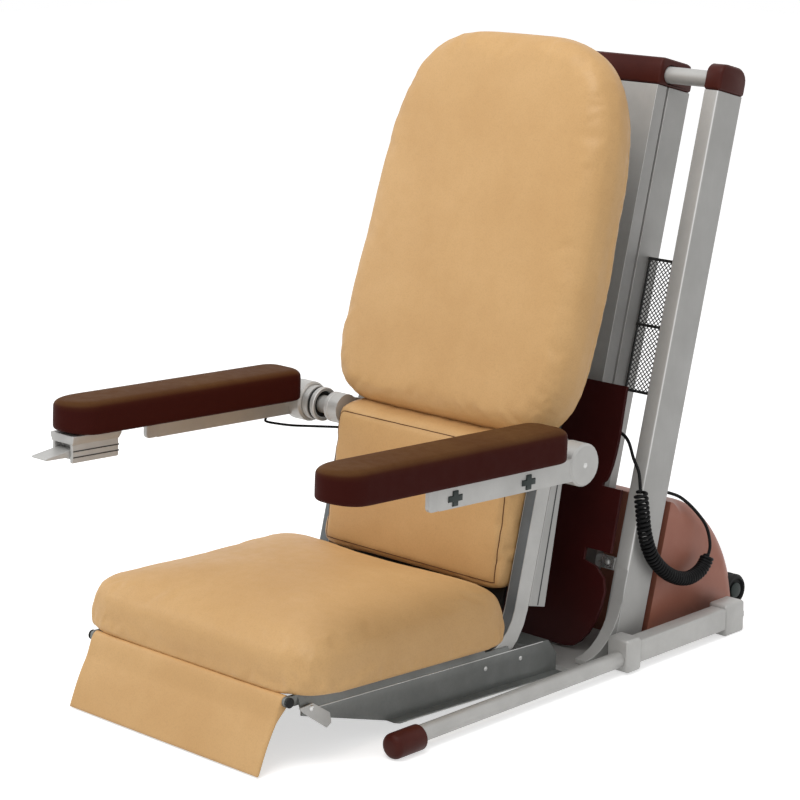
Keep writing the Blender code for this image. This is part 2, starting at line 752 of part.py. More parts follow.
# Columns, their caps, lugs and gussets
def make_columns():
    for side, sign in SIDES:
        low_x, high_x = sorted((sign * COLUMN_INNER_X, sign * COLUMN_OUTER_X))
        outer = rounded((low_x, 0.0), (high_x, COLUMN_DEPTH), 0.004)
        wall = COLUMN_WALL
        inner = rounded((low_x + wall, wall), (high_x - wall, COLUMN_DEPTH - wall), 0.002)
        column = outline_solid("column_" + side, [outer, inner], -0.02, MAST_TOP)
        lug_end = sign * (COLUMN_INNER_X - LUG_REACH)
        lug_root = sign * (COLUMN_INNER_X + COLUMN_WALL * 0.5)
        lug_low, lug_high = sorted((lug_end, lug_root))
        half = LUG_HEIGHT / 2
        lug_outline = rounded((lug_low, LUG_RISE - half), (lug_high, LUG_RISE + half), half * 0.7, 4)
        hole = ring((lug_end + sign * half, LUG_RISE), LUG_HOLE_RADIUS, 12)
        lug = front_solid("lug_" + side, [lug_outline, hole], COLUMN_WALL + 0.005, COLUMN_WALL + 0.005 + LUG_THICKNESS)
        lug.parent = mast_frame
        join(column, lug)
        cut(column, stand_tool)
        finish(column, mast_frame, ALUMINIUM)

        over = CAP_OVERHANG
        top = MAST_TOP + COLUMN_CAP_HEIGHT
        profile = [(-over, MAST_TOP + GAP)]
        profile += [(COLUMN_DEPTH + over, MAST_TOP + GAP)]
        profile += arc((COLUMN_DEPTH + over - 0.022, top - 0.022), 0.022, 0, 90, 5)
        profile += arc((-over + 0.016, top - 0.016), 0.016, 90, 180, 5)
        cap = side_solid("column_cap_" + side, [profile], low_x - over, high_x + over)
        finish(ease(cap, 0.004), mast_frame, CAP_BROWN)

        outer_x = sign * COLUMN_OUTER_X
        inner_x = sign * (COLUMN_OUTER_X - GUSSET_WIDTH)
        low_x, high_x = sorted((outer_x, inner_x))
        front_gap = GAP / math.cos(LEAN)
        top_z = STAND_Z + GUSSET_HEIGHT
        top_y = MAST_FOOT_Y + top_z * math.tan(LEAN) - front_gap
        base_y = MAST_FOOT_Y + STAND_Z * math.tan(LEAN) - front_gap
        toe_y = base_y - GUSSET_REACH
        toe_z = STAND_Z + GUSSET_TOE
        outline = [(base_y, STAND_Z), (top_y, top_z)]
        for step in range(1, 9):
            angle = math.pi / 2 * step / 8
            sweep_y = toe_y + (top_y - 0.006 - toe_y) * math.cos(angle)
            outline.append((sweep_y, top_z - (top_z - toe_z) * math.sin(angle)))
        outline.append((toe_y, STAND_Z))
        gusset = side_solid("column_gusset_" + side, [outline], low_x, high_x)
        finish(gusset, root, GREY_PAINT)


# Centre mast, its cap and the bar through the top
def mast_section():
    """Right half of the mast's open box section, with its side groove, from the front slot round to the slot."""
    half = MAST_HALF_WIDTH
    wall = MAST_WALL
    start = GROOVE_START
    end = GROOVE_START + GROOVE_WIDTH
    pocket = half - GROOVE_DEPTH
    outer = [
        (SLOT_HALF_WIDTH, 0.0), (half, 0.0), (half, start), (pocket, start), (pocket, end), (half, end),
        (half, MAST_DEPTH),
    ]
    inner = [
        (half - wall, MAST_DEPTH - wall), (half - wall, end + wall), (pocket - wall, end + wall),
        (pocket - wall, start - wall), (half - wall, start - wall), (half - wall, wall), (SLOT_HALF_WIDTH, wall),
    ]
    return outer, inner


def make_mast():
    outer, inner = mast_section()
    section = outer + [(-x, y) for x, y in reversed(outer)]
    section += [(-x, y) for x, y in reversed(inner)] + inner
    mast = outline_solid("mast", [section], -0.03, MAST_TOP)
    window_half = GEARBOX_HALF_WIDTH + 0.002
    window = box(
        "mast_window", (-window_half, MAST_DEPTH * 0.6, -0.1), (window_half, MAST_DEPTH + 0.02, GEARBOX_TOP + 0.003)
    )
    window.parent = mast_frame
    cut(mast, window)
    cut(mast, stand_tool)
    finish(mast, mast_frame, ALUMINIUM)

    over = CAP_OVERHANG
    top = MAST_TOP + MAST_CAP_HEIGHT
    half = MAST_HALF_WIDTH + over
    profile = [(-over, MAST_TOP + GAP), (MAST_DEPTH + over, MAST_TOP + GAP)]
    profile += arc((MAST_DEPTH + over - 0.018, top - 0.018), 0.018, 0, 90, 5)
    profile += arc((-over + 0.010, top - 0.010), 0.010, 90, 180, 4)
    cap = side_solid("mast_cap", [profile], -half, half)
    ease(cap, 0.004)
    passage = rod("bar_passage", BAR_RADIUS + PIN_CLEARANCE, -half - 0.05, half + 0.05, BAR_DEPTH, BAR_RISE, 28)
    passage.parent = mast_frame
    cut(cap, passage)
    finish(cap, mast_frame, CAP_BROWN)

    reach = COLUMN_INNER_X - CAP_OVERHANG - GAP
    bar = rod("top_bar", BAR_RADIUS, -reach, reach, BAR_DEPTH, BAR_RISE, 28)
    finish(bar, mast_frame, GREY_PAINT)


# Mesh screens
def diamond_rows(x_low, x_high, z_low, z_high):
    """Diamond holes in a field, in a staggered pattern."""
    across = (x_high - x_low) / SCREEN_COLUMNS
    up = (z_high - z_low) / SCREEN_ROWS
    holes = []
    for row in range(2 * SCREEN_ROWS - 1):
        shift = row % 2
        for column in range(SCREEN_COLUMNS - shift):
            x = x_low + (column + 0.5 + shift / 2) * across
            z = z_low + (row + 1) * up / 2
            dx = across / 2 - SCREEN_WIRE
            dz = up / 2 - SCREEN_WIRE
            holes.append([(x - dx, z), (x, z - dz), (x + dx, z), (x, z + dz)])
    return holes


def make_screens():
    for side, sign in SIDES:
        low_x, high_x = sorted((sign * (MAST_HALF_WIDTH + GAP), sign * (COLUMN_INNER_X - GAP)))
        top = SCREEN_BOTTOM + SCREEN_HEIGHT
        middle = SCREEN_BOTTOM + SCREEN_HEIGHT / 2
        edge = 0.003
        field = (SCREEN_HEIGHT - 3 * SCREEN_BAR) / 2
        holes = []
        for start in (SCREEN_BOTTOM + SCREEN_BAR, middle + SCREEN_BAR / 2):
            holes += diamond_rows(low_x + edge, high_x - edge, start, start + field)
        sheet_outline = [(low_x, SCREEN_BOTTOM), (high_x, SCREEN_BOTTOM), (high_x, top), (low_x, top)]
        screen = front_solid(
            "mesh_screen_" + side, [sheet_outline] + holes, SCREEN_DEPTH, SCREEN_DEPTH + SCREEN_SHEET
        )
        for index, low in enumerate((SCREEN_BOTTOM, middle - SCREEN_BAR / 2, top - SCREEN_BAR)):
            front = SCREEN_DEPTH - (SCREEN_BAR_DEPTH - SCREEN_SHEET) / 2
            bar = box(
                "screen_bar_" + side + str(index),
                (low_x, front, low + 0.0002),
                (high_x, front + SCREEN_BAR_DEPTH, low + SCREEN_BAR - 0.0002),
            )
            bar.parent = mast_frame
            join(screen, bar)
        finish(screen, mast_frame, MESH_DARK)


# Motor cover: a rounded hump behind the mast, open below
def cover_outline():
    """Side outline of the hump, leaning with the mast in front and rounded behind."""
    front = MAST_DEPTH + GAP
    low = STAND_Z
    under = COVER_UNDER_Z
    front_low = MAST_FOOT_Y + under * math.tan(LEAN) + front / math.cos(LEAN)
    front_top = MAST_FOOT_Y + COVER_TOP_Z * math.tan(LEAN) + front / math.cos(LEAN)
    points = [(front_low, under), (front_top, COVER_TOP_Z)]
    count = 11
    for step in range(1, count + 1):
        angle = math.pi / 2 * step / count
        along = math.sin(angle) ** (2 / COVER_CURVE)
        up = max(math.cos(angle), 0.0) ** (2 / COVER_CURVE)
        points.append((front_top + (COVER_REAR_Y - front_top) * along, low + (COVER_TOP_Z - low) * up))
    points.append((COVER_REAR_Y, under))
    return points


def make_cover():
    cover = side_solid("motor_cover", [cover_outline()], -COVER_HALF_WIDTH, COVER_HALF_WIDTH)
    bm = bmesh.new()
    bm.from_mesh(cover.data)
    sides = [edge for edge in bm.edges if all(abs(abs(v.co.x) - COVER_HALF_WIDTH) < 1e-6 for v in edge.verts)]
    rims = [edge for edge in sides if not all(abs(v.co.z - COVER_UNDER_Z) < 1e-6 for v in edge.verts)]
    bmesh.ops.bevel(bm, geom=rims, offset=COVER_EDGE, segments=2, profile=0.5, affect="EDGES", clamp_overlap=True)
    floor = [face for face in bm.faces if all(abs(v.co.z - COVER_UNDER_Z) < 1e-6 for v in face.verts)]
    bmesh.ops.delete(bm, geom=floor, context="FACES")
    bm.to_mesh(cover.data)
    bm.free()
    shell = cover.modifiers.new("wall", "SOLIDIFY")
    shell.thickness = COVER_WALL
    shell.offset = -1.0
    window_half = GEARBOX_HALF_WIDTH + 0.004
    window = box(
        "cover_window",
        (-window_half, MAST_DEPTH - 0.02, -0.1),
        (window_half, MAST_DEPTH + COVER_WALL * 3, GEARBOX_TOP + 0.006),
    )
    window.parent = mast_frame
    cut(cover, window)
    for side, sign in SIDES:
        inner = WHEEL_X - WHEEL_WIDTH / 2 - EAR_SIDE_GAP - EAR_THICKNESS - WHEEL_POCKET
        outer = COVER_HALF_WIDTH - COVER_WALL - GAP
        low_x, high_x = sorted((sign * inner, sign * outer))
        pocket = box(
            "wheel_pocket_" + side,
            (low_x, WHEEL_Y - WHEEL_RADIUS - WHEEL_POCKET, -0.1),
            (high_x, COVER_REAR_Y + 0.1, WHEEL_Z + WHEEL_RADIUS + WHEEL_POCKET),
        )
        pocket.parent = root
        cut(cover, pocket)
    cut(cover, stand_tool)
    finish(cover, root, COVER_BROWN)


# Drive: gear motor, lead screw, upper bearing and nut
def make_drive():
    gearbox = box(
        "gear_motor",
        (-GEARBOX_HALF_WIDTH, GEARBOX_FRONT, -0.03),
        (GEARBOX_HALF_WIDTH, GEARBOX_REAR, GEARBOX_TOP),
    )
    ease(gearbox, 0.004, 1)
    motor = rod("motor_body", MOTOR_RADIUS, -MOTOR_LENGTH / 2, MOTOR_LENGTH / 2, MOTOR_DEPTH, MOTOR_RISE, 20)
    motor.parent = mast_frame
    join(gearbox, ease(motor, 0.005, 1))
    seat = rod("journal_seat", JOURNAL_RADIUS + PIN_CLEARANCE, 0.0, 2 * JOURNAL_SEAT)
    seat.data.transform(Matrix.Rotation(-math.pi / 2, 4, "Y"))
    seat.data.transform(Matrix.Translation((0.0, SCREW_DEPTH, GEARBOX_TOP - JOURNAL_SEAT)))
    seat.parent = mast_frame
    cut(gearbox, seat)
    cut(gearbox, stand_tool)
    finish(gearbox, mast_frame, BLACK_PLASTIC)

    screw_frame = empty("screw_frame", (0.0, SCREW_DEPTH, 0.0), mast_frame)
    bearing_bottom = BEARING_TOP - BEARING_HEIGHT
    thread_low = GEARBOX_TOP + GAP
    thread_high = bearing_bottom - GAP
    profile = [
        (0.0, BEARING_TOP), (JOURNAL_RADIUS, BEARING_TOP), (JOURNAL_RADIUS, thread_high),
        (SCREW_RADIUS, thread_high), (SCREW_RADIUS, thread_low), (JOURNAL_RADIUS, thread_low),
        (JOURNAL_RADIUS, GEARBOX_TOP - JOURNAL_SEAT + GAP), (0.0, GEARBOX_TOP - JOURNAL_SEAT + GAP),
    ]
    finish(turned("lead_screw", profile, 16), screw_frame, STEEL)

    block = rounded(
        (-BEARING_HALF_WIDTH, MAST_WALL + GAP), (BEARING_HALF_WIDTH, MAST_DEPTH - MAST_WALL - GAP), 0.005
    )
    bore = ring((0.0, SCREW_DEPTH), JOURNAL_RADIUS + PIN_CLEARANCE)
    bearing = outline_solid("screw_bearing", [block, bore], bearing_bottom, BEARING_TOP)
    finish(bearing, mast_frame, STEEL)

    neck = SLOT_HALF_WIDTH - NUT_NECK_CLEARANCE
    neck_front = -CARRIAGE_FRONT_GAP + GAP
    body = [
        (neck, neck_front), (neck, NUT_FRONT), (NUT_HALF_WIDTH, NUT_FRONT), (NUT_HALF_WIDTH, NUT_REAR),
    ]
    outline = body + [(-x, y) for x, y in reversed(body)]
    bore = ring((0.0, SCREW_DEPTH), SCREW_RADIUS + PIN_CLEARANCE)
    nut = outline_solid("drive_nut", [outline, bore], NUT_RISE, NUT_RISE + NUT_HEIGHT)
    finish(nut, lift_frame, GLIDE_PLASTIC)


# Carriage: plate round the mast, glides, arms and the shield
def make_carriage():
    top = CARRIAGE_BOTTOM + CARRIAGE_HEIGHT
    half = [
        (CARRIAGE_OUTER_X, CARRIAGE_FRONT), (CARRIAGE_OUTER_X, CARRIAGE_WRAP), (CARRIAGE_INNER_X, CARRIAGE_WRAP),
        (CARRIAGE_INNER_X, -CARRIAGE_FRONT_GAP),
    ]
    section = half + [(-x, y) for x, y in reversed(half)]
    plate = outline_solid("carriage_plate", [section], CARRIAGE_BOTTOM, top)
    finish(plate, lift_frame, GREY_PAINT)

    middle = (CARRIAGE_BOTTOM + top) / 2
    for side, sign in SIDES:
        tip = sign * (MAST_HALF_WIDTH - GROOVE_DEPTH + GLIDE_SIDE_GAP)
        low_x, high_x = sorted((tip, sign * (CARRIAGE_INNER_X - GAP)))
        glide = box(
            "glide_strip_" + side,
            (low_x, GROOVE_START + GAP, middle - GLIDE_LENGTH / 2),
            (high_x, GROOVE_START + GROOVE_WIDTH - GAP, middle + GLIDE_LENGTH / 2),
        )
        finish(glide, lift_frame, GLIDE_PLASTIC)

        low_x, high_x = sorted((sign * ARM_PLATE_X, sign * (ARM_PLATE_X + ARM_PLATE_THICKNESS)))
        arm = side_solid("carriage_arm_" + side, [carriage_arm_outline()], low_x, high_x)
        finish(arm, lift_frame, GREY_PAINT)


def carriage_arm_outline():
    """Side outline of an arm from the carriage plate to the lumbar plate and up behind the back board."""
    rear = CARRIAGE_FRONT - GAP
    front = BACK_PLATE_REAR + GAP
    low_depth, low_rise = mast_place(*back_point(BOARD_THICKNESS + 2 * GAP, BOARD_SEAT_LOW))
    high_depth, high_rise = mast_place(*back_point(BOARD_THICKNESS + 2 * GAP, BOARD_SEAT_HIGH))
    under = mast_place(*back_point(0.0, 0.0))[1] - ARM_PLATE_CUSHION_GAP
    step = ARM_PLATE_BACK_STEP
    return [
        (rear, ARM_PLATE_BOTTOM), (rear, ARM_PLATE_BACK_RISE),
        (SHIELD_FRONT - SHIELD_SLOT_CLEARANCE, ARM_PLATE_BACK_RISE), (high_depth + step, low_rise + step),
        (high_depth + step / 2, high_rise), (high_depth, high_rise), (low_depth, low_rise),
        (low_depth, under), (front, BACK_PLATE_TOP), (front, ARM_PLATE_BOTTOM + step),
        (front + step, ARM_PLATE_BOTTOM),
    ]


def shield_half():
    """Right edge of the shield from its top down, with its tapered top, step, notch and rounded foot."""
    points = [(SHIELD_TOP_HALF, SHIELD_TOP), (SHIELD_TOP_HALF + 0.003, SHIELD_TAPER_RISE)]
    drop = SHIELD_TAPER_RISE - SHIELD_TAPER_END
    inset = SHIELD_TOP_HALF + 0.003 - SHIELD_TAPER_HALF
    for step in range(1, 6):
        angle = math.pi / 2 * step / 5
        points.append((SHIELD_TAPER_HALF + inset * math.cos(angle), SHIELD_TAPER_RISE - drop * math.sin(angle)))
    points += [(SHIELD_TAPER_HALF, SHIELD_STEP_TOP), (SHIELD_STEP_HALF, SHIELD_STEP_TOP)]
    points += [(SHIELD_STEP_HALF + 0.002, SHIELD_STEP_BOTTOM), (SHIELD_NOTCH_HALF, SHIELD_STEP_BOTTOM)]
    points += [(SHIELD_NOTCH_HALF, SHIELD_NOTCH_BOTTOM)]
    for step in range(1, 4):
        angle = math.pi / 2 * step / 3
        reach = SHIELD_FOOT_HALF - SHIELD_NOTCH_HALF
        fall = SHIELD_NOTCH_BOTTOM - SHIELD_FOOT_RISE
        points.append((SHIELD_NOTCH_HALF + reach * math.sin(angle), SHIELD_FOOT_RISE + fall * math.cos(angle)))
    for step in range(1, 7):
        angle = math.pi / 2 * step / 6
        reach = SHIELD_FOOT_HALF - SHIELD_FLOOR_HALF
        fall = SHIELD_FOOT_RISE - SHIELD_BOTTOM
        points.append((SHIELD_FLOOR_HALF + reach * math.cos(angle), SHIELD_FOOT_RISE - fall * math.sin(angle)))
    return points


def make_shield():
    slots = []
    clear = SHIELD_SLOT_CLEARANCE
    low = ARM_PLATE_BOTTOM - clear
    high = ARM_PLATE_BACK_RISE + clear
    for _, sign in SIDES:
        low_x, high_x = sorted((sign * ARM_PLATE_X, sign * (ARM_PLATE_X + ARM_PLATE_THICKNESS)))
        slots.append(rounded((low_x - clear, low), (high_x + clear, high), clear))
    shield = front_solid("carriage_shield", [mirrored(shield_half())] + slots, SHIELD_FRONT, SHIELD_REAR)
    finish(shield, lift_frame, SHIELD_BROWN)


# Side frames, back posts, lumbar plate and pad
def frame_outline():
    """Bent band from the arm hinge down behind the seat and forward below the pan."""
    middle = (FRAME_FRONT + FRAME_REAR) / 2
    top = Vector(mast_point(middle, FRAME_TOP))
    down = (Vector(mast_point(middle, 0.0)) - top).normalized()
    run_up = -PAN_SHEET - FRAME_RUN_DROP - FRAME_BAND / 2
    rear = Vector(seat_point(SEAT_REAR_Y, run_up))
    front = Vector(seat_point(FRAME_RUN_END_Y, run_up))
    along = (rear - front).normalized()
    across = along.x * down.y - along.y * down.x
    offset = top - front
    reach = (offset.x * down.y - offset.y * down.x) / across
    corner = front + along * reach
    return band(filleted([top, corner, front], FRAME_BEND), FRAME_BAND)


def make_back_frame():
    for side, sign in SIDES:
        low_x, high_x = sorted((sign * FRAME_INNER_X, sign * FRAME_OUTER_X))
        frame = side_solid("side_frame_" + side, [frame_outline()], low_x, high_x)
        eye = rod("hinge_eye_" + side, EYE_RADIUS, low_x + 0.0002, high_x - 0.0002, HINGE_Y, HINGE_Z)
        eye.parent = root
        join(frame, eye)
        finish(frame, root, GREY_PAINT)

        low_x, high_x = sorted((sign * POST_INNER_X, sign * (POST_INNER_X + POST_WIDTH)))
        outline = [
            (POST_FRONT, POST_BOTTOM), (POST_FRONT + POST_DEPTH, POST_BOTTOM), (POST_FRONT + POST_TOP_DEPTH, POST_TOP),
            (POST_FRONT, POST_TOP),
        ]
        post = side_solid("back_post_" + side, [outline], low_x, high_x)
        channel = box(
            "post_channel_" + side,
            (low_x + POST_WALL, POST_FRONT + POST_WALL, POST_BOTTOM - 0.05),
            (high_x - POST_WALL, POST_FRONT + 2 * POST_DEPTH, POST_TOP + 0.05),
        )
        channel.parent = lift_frame
        cut(post, channel)
        finish(post, lift_frame, ALUMINIUM)

    half = FRAME_INNER_X - GAP
    outline = rounded((-half, BACK_PLATE_BOTTOM), (half, BACK_PLATE_TOP), 0.010)
    plate = front_solid("lumbar_plate", [outline], BACK_PLATE_FRONT, BACK_PLATE_REAR)
    finish(plate, lift_frame, PAN_GREY)


# Soft pieces
def squared_oval(half_width, half_height, top_power, foot_power, taper=0.0, count=44):
    """A squared oval round the origin that narrows upwards by the taper."""
    points = []
    for step in range(count):
        angle = 2 * math.pi * (step + 0.5) / count
        power = top_power if math.sin(angle) > 0.0 else foot_power
        u = math.copysign(abs(math.cos(angle)) ** (2 / power), math.cos(angle))
        v = math.copysign(abs(math.sin(angle)) ** (2 / power), math.sin(angle))
        width = half_width * (1.0 - taper * (v + 1.0) / 2)
        points.append((u * width, v * half_height))
    return points


def cushion(name, outline, levels, foot, crown):
    """A stuffed form: the outline extruded level by level, drawn in by an inset at each, with a point below and above."""
    half_u = max(abs(u) for u, _ in outline)
    half_v = max(abs(v) for _, v in outline)
    bm = bmesh.new()
    first_inset, first_level = levels[0]
    ring_verts = [bm.verts.new((u, v, first_level)) for u, v in outline]
    bottom = bm.faces.new(ring_verts)
    bmesh.ops.scale(bm, vec=(1.0 - first_inset / half_u, 1.0 - first_inset / half_v, 1.0), verts=ring_verts)
    top = bottom
    inset = first_inset
    for next_inset, level in levels[1:]:
        grown = bmesh.ops.extrude_face_region(bm, geom=[top])
        if top is not bottom:
            bmesh.ops.delete(bm, geom=[top], context="FACES_ONLY")
        top = [item for item in grown["geom"] if isinstance(item, bmesh.types.BMFace)][0]
        spread = ((half_u - next_inset) / (half_u - inset), (half_v - next_inset) / (half_v - inset), 1.0)
        bmesh.ops.scale(bm, vec=spread, verts=top.verts)
        for vert in top.verts:
            vert.co.z = level
        inset = next_inset
    caps = [face for face in bm.faces if len(face.verts) == len(outline)]
    for cap, height in ((min(caps, key=lambda f: f.verts[0].co.z), foot), (max(caps, key=lambda f: f.verts[0].co.z), crown)):
        middle = bmesh.ops.poke(bm, faces=[cap])["verts"][0]
        middle.co = (0.0, 0.0, height)
    bm.normal_update()
    bmesh.ops.recalc_face_normals(bm, faces=bm.faces)
    return solid(name, bm)


def slab_levels(thickness, edge, crown, waist):
    """Insets and levels of an upholstered slab with a flat back, drawn-in sides and a crowned face."""
    face = thickness - crown
    return [
        (edge, 0.0), (edge * 0.3, edge * 0.3), (0.0, edge), (waist, face / 2), (0.0, face - edge),
        (edge * 0.3, face - edge * 0.3), (edge, face), (edge + SLAB_SHOULDER * 0.4, face + crown * 0.55),
        (edge + SLAB_SHOULDER, face + crown * 0.92),
    ]


def make_cushions():
    pad_half = (LUMBAR_TOP - LUMBAR_BOTTOM) / 2
    outline = squared_oval(LUMBAR_HALF_WIDTH, pad_half, 14.0, 14.0, 0.0, 36)
    levels = slab_levels(LUMBAR_THICKNESS, LUMBAR_EDGE, LUMBAR_CROWN, 0.0008)
    lumbar = cushion("lumbar_pad", outline, levels, 0.0, LUMBAR_THICKNESS)
    for vert in lumbar.data.vertices:
        vert.co.z *= 1.0 + LUMBAR_WEDGE * vert.co.y / pad_half
    lumbar.data.transform(Matrix.Rotation(math.pi / 2, 4, "X"))
    place = (0.0, BACK_PLATE_FRONT - GAP, (LUMBAR_TOP + LUMBAR_BOTTOM) / 2)
    lumbar.data.transform(Matrix.Translation(place))
    finish(lumbar, lift_frame, LEATHER)

    half = BACK_HEIGHT / 2
    taper = 1.0 - BACK_TOP_HALF_WIDTH / BACK_HALF_WIDTH
    outline = squared_oval(BACK_HALF_WIDTH, half, BACK_TOP_POWER, BACK_FOOT_POWER, taper)
    levels = slab_levels(BACK_THICKNESS, BACK_EDGE, BACK_CROWN, 0.0015)
    back = cushion("back_cushion", outline, levels, 0.0, BACK_THICKNESS)
    back.data.transform(Matrix.Rotation(math.pi / 2, 4, "X"))
    back.data.transform(Matrix.Translation((0.0, 0.0, half)))
    finish(back, back_frame, LEATHER)

    outline = rounded((-BOARD_HALF_WIDTH, BOARD_BOTTOM), (BOARD_HALF_WIDTH, BOARD_TOP), 0.060, 5)
    board = front_solid("back_board", [outline], GAP, GAP + BOARD_THICKNESS)
    finish(board, back_frame, PAN_GREY)

    half = (SEAT_REAR_Y - SEAT_FRONT_Y) / 2
    outline = squared_oval(SEAT_HALF_WIDTH, half, SEAT_POWER, SEAT_POWER)
    height = SEAT_SIDE + SEAT_CROWN
    seat = cushion("seat_cushion", outline, slab_levels(height, SEAT_EDGE, SEAT_CROWN, 0.001), 0.0, height)
    seat.data.transform(Matrix.Translation((0.0, (SEAT_REAR_Y + SEAT_FRONT_Y) / 2, 0.0)))
    finish(seat, seat_frame, LEATHER)


# Seat pan with its ears, the flap's rod and the flap
def pan_section():
    """Right half of the folded sheet, outer skin then inner skin."""
    sheet = PAN_SHEET
    top = -GAP
    shoulder = top - PAN_SHOULDER
    foot = shoulder - PAN_WALL
    outer = [
        (PAN_TOP_HALF, top), (PAN_WALL_X, shoulder), (PAN_WALL_X, foot + sheet), (PAN_WALL_X + PAN_FLANGE, foot + sheet),
    ]
    inner = [
        (PAN_WALL_X + PAN_FLANGE, foot), (PAN_WALL_X - sheet, foot), (PAN_WALL_X - sheet, shoulder - sheet / 3),
        (PAN_TOP_HALF - sheet * 0.7, top - sheet),
    ]
    return outer + inner


def make_seat_pan():
    section = pan_section()
    outline = section + [(-x, z) for x, z in reversed(section)]
    pan = front_solid("seat_pan", [outline], PAN_FRONT_Y, PAN_REAR_Y)
    nose_low = -GAP - PAN_SHOULDER - PAN_WALL - PAN_SHEET
    nose = [
        (PAN_FRONT_Y - PAN_NOSE_OVER, nose_low), (PAN_FRONT_Y + PAN_NOSE_LENGTH, nose_low),
        (PAN_FRONT_Y - PAN_NOSE_OVER, -PAN_NOSE_HEIGHT),
    ]
    reach = PAN_WALL_X + PAN_FLANGE + CUT_OVER
    nose_tool = side_solid("pan_nose_cutter", [nose], -reach, reach)
    nose_tool.parent = seat_frame
    cut(pan, nose_tool)
    step_y = SEAT_REAR_Y + PAN_STEP
    deck_y = step_y + PAN_DECK
    deck_z = -GAP - PAN_SHOULDER
    low_z = deck_z - PAN_WALL
    raised = box("pan_step_cutter", (-reach, step_y, deck_z), (reach, PAN_REAR_Y + CUT_OVER, CUT_OVER))
    raised.parent = seat_frame
    cut(pan, raised)
    half = PAN_WALL_X - PAN_SHEET / 2
    riser_half = PAN_TOP_HALF - PAN_SHEET
    skin = PAN_SHEET / 2
    riser = box("pan_riser", (-riser_half, step_y - PAN_SHEET, deck_z - skin), (riser_half, step_y, -GAP - skin))
    deck = box("pan_deck", (-half, step_y - skin, deck_z - PAN_SHEET), (half, deck_y, deck_z))
    for piece in (riser, deck):
        piece.parent = seat_frame
        join(pan, piece)
    slope = (PAN_REAR_Y - deck_y) / PAN_TAIL_DROP
    tail = [
        (deck_y - slope * CUT_OVER, deck_z + CUT_OVER), (deck_y + slope * PAN_WALL, low_z),
        (deck_y + slope * PAN_WALL + CUT_OVER, low_z), (deck_y + slope * PAN_WALL + CUT_OVER, deck_z + CUT_OVER),
    ]
    tail_tool = side_solid("pan_tail_cutter", [tail], -reach, reach)
    tail_tool.parent = seat_frame
    cut(pan, tail_tool)
    clear = PAN_SLOT_CLEARANCE
    for side, sign in SIDES:
        low_x, high_x = sorted((sign * (FRAME_INNER_X - clear), sign * (PAN_WALL_X - PAN_SHEET - GAP)))
        slot = box(
            "frame_slot_" + side, (low_x, SEAT_REAR_Y - 0.040, -PAN_SHOULDER - 0.006), (high_x, SLOT_END_Y, 0.02)
        )
        slot.parent = seat_frame
        cut(pan, slot)
        low_x, high_x = sorted(
            (sign * (FLAP_HALF_WIDTH + GAP), sign * (FLAP_HALF_WIDTH + GAP + FLAP_EAR_THICKNESS))
        )
        ear_outline = rounded(
            (ROD_Y - KNUCKLE_RADIUS, -ROD_DROP - KNUCKLE_RADIUS), (FLAP_EAR_REACH, -0.0022), KNUCKLE_RADIUS * 0.9, 4
        )
        hole = ring((ROD_Y, -ROD_DROP), ROD_RADIUS + PIN_CLEARANCE, 16)
        ear = side_solid("flap_ear_" + side, [ear_outline, hole], low_x, high_x)
        ear.parent = seat_frame
        join(pan, ear)
    finish(pan, seat_frame, PAN_GREY)

    reach = FLAP_HALF_WIDTH + FLAP_EAR_THICKNESS + 0.004
    rod_piece = rod("flap_rod", ROD_RADIUS, -reach, reach, ROD_Y, -ROD_DROP, 16)
    finish(rod_piece, seat_frame, STEEL)

    rod_y, rod_z = seat_point(ROD_Y, -ROD_DROP)
    frame = empty("flap_frame", (0.0, rod_y, rod_z), root)
    outline = [(y - rod_y, z - rod_z) for y, z in flap_outline()]
    flap = side_solid("leg_flap", [outline], -FLAP_HALF_WIDTH, FLAP_HALF_WIDTH)
    knuckle = rod("flap_knuckle", KNUCKLE_RADIUS, -FLAP_HALF_WIDTH + 0.0002, FLAP_HALF_WIDTH - 0.0002)
    knuckle.parent = frame
    join(flap, knuckle)
    passage = rod("rod_passage", ROD_RADIUS + PIN_CLEARANCE, -FLAP_HALF_WIDTH - 0.01, FLAP_HALF_WIDTH + 0.01, segments=16)
    passage.parent = frame
    cut(flap, passage)
    finish(flap, frame, LEATHER)


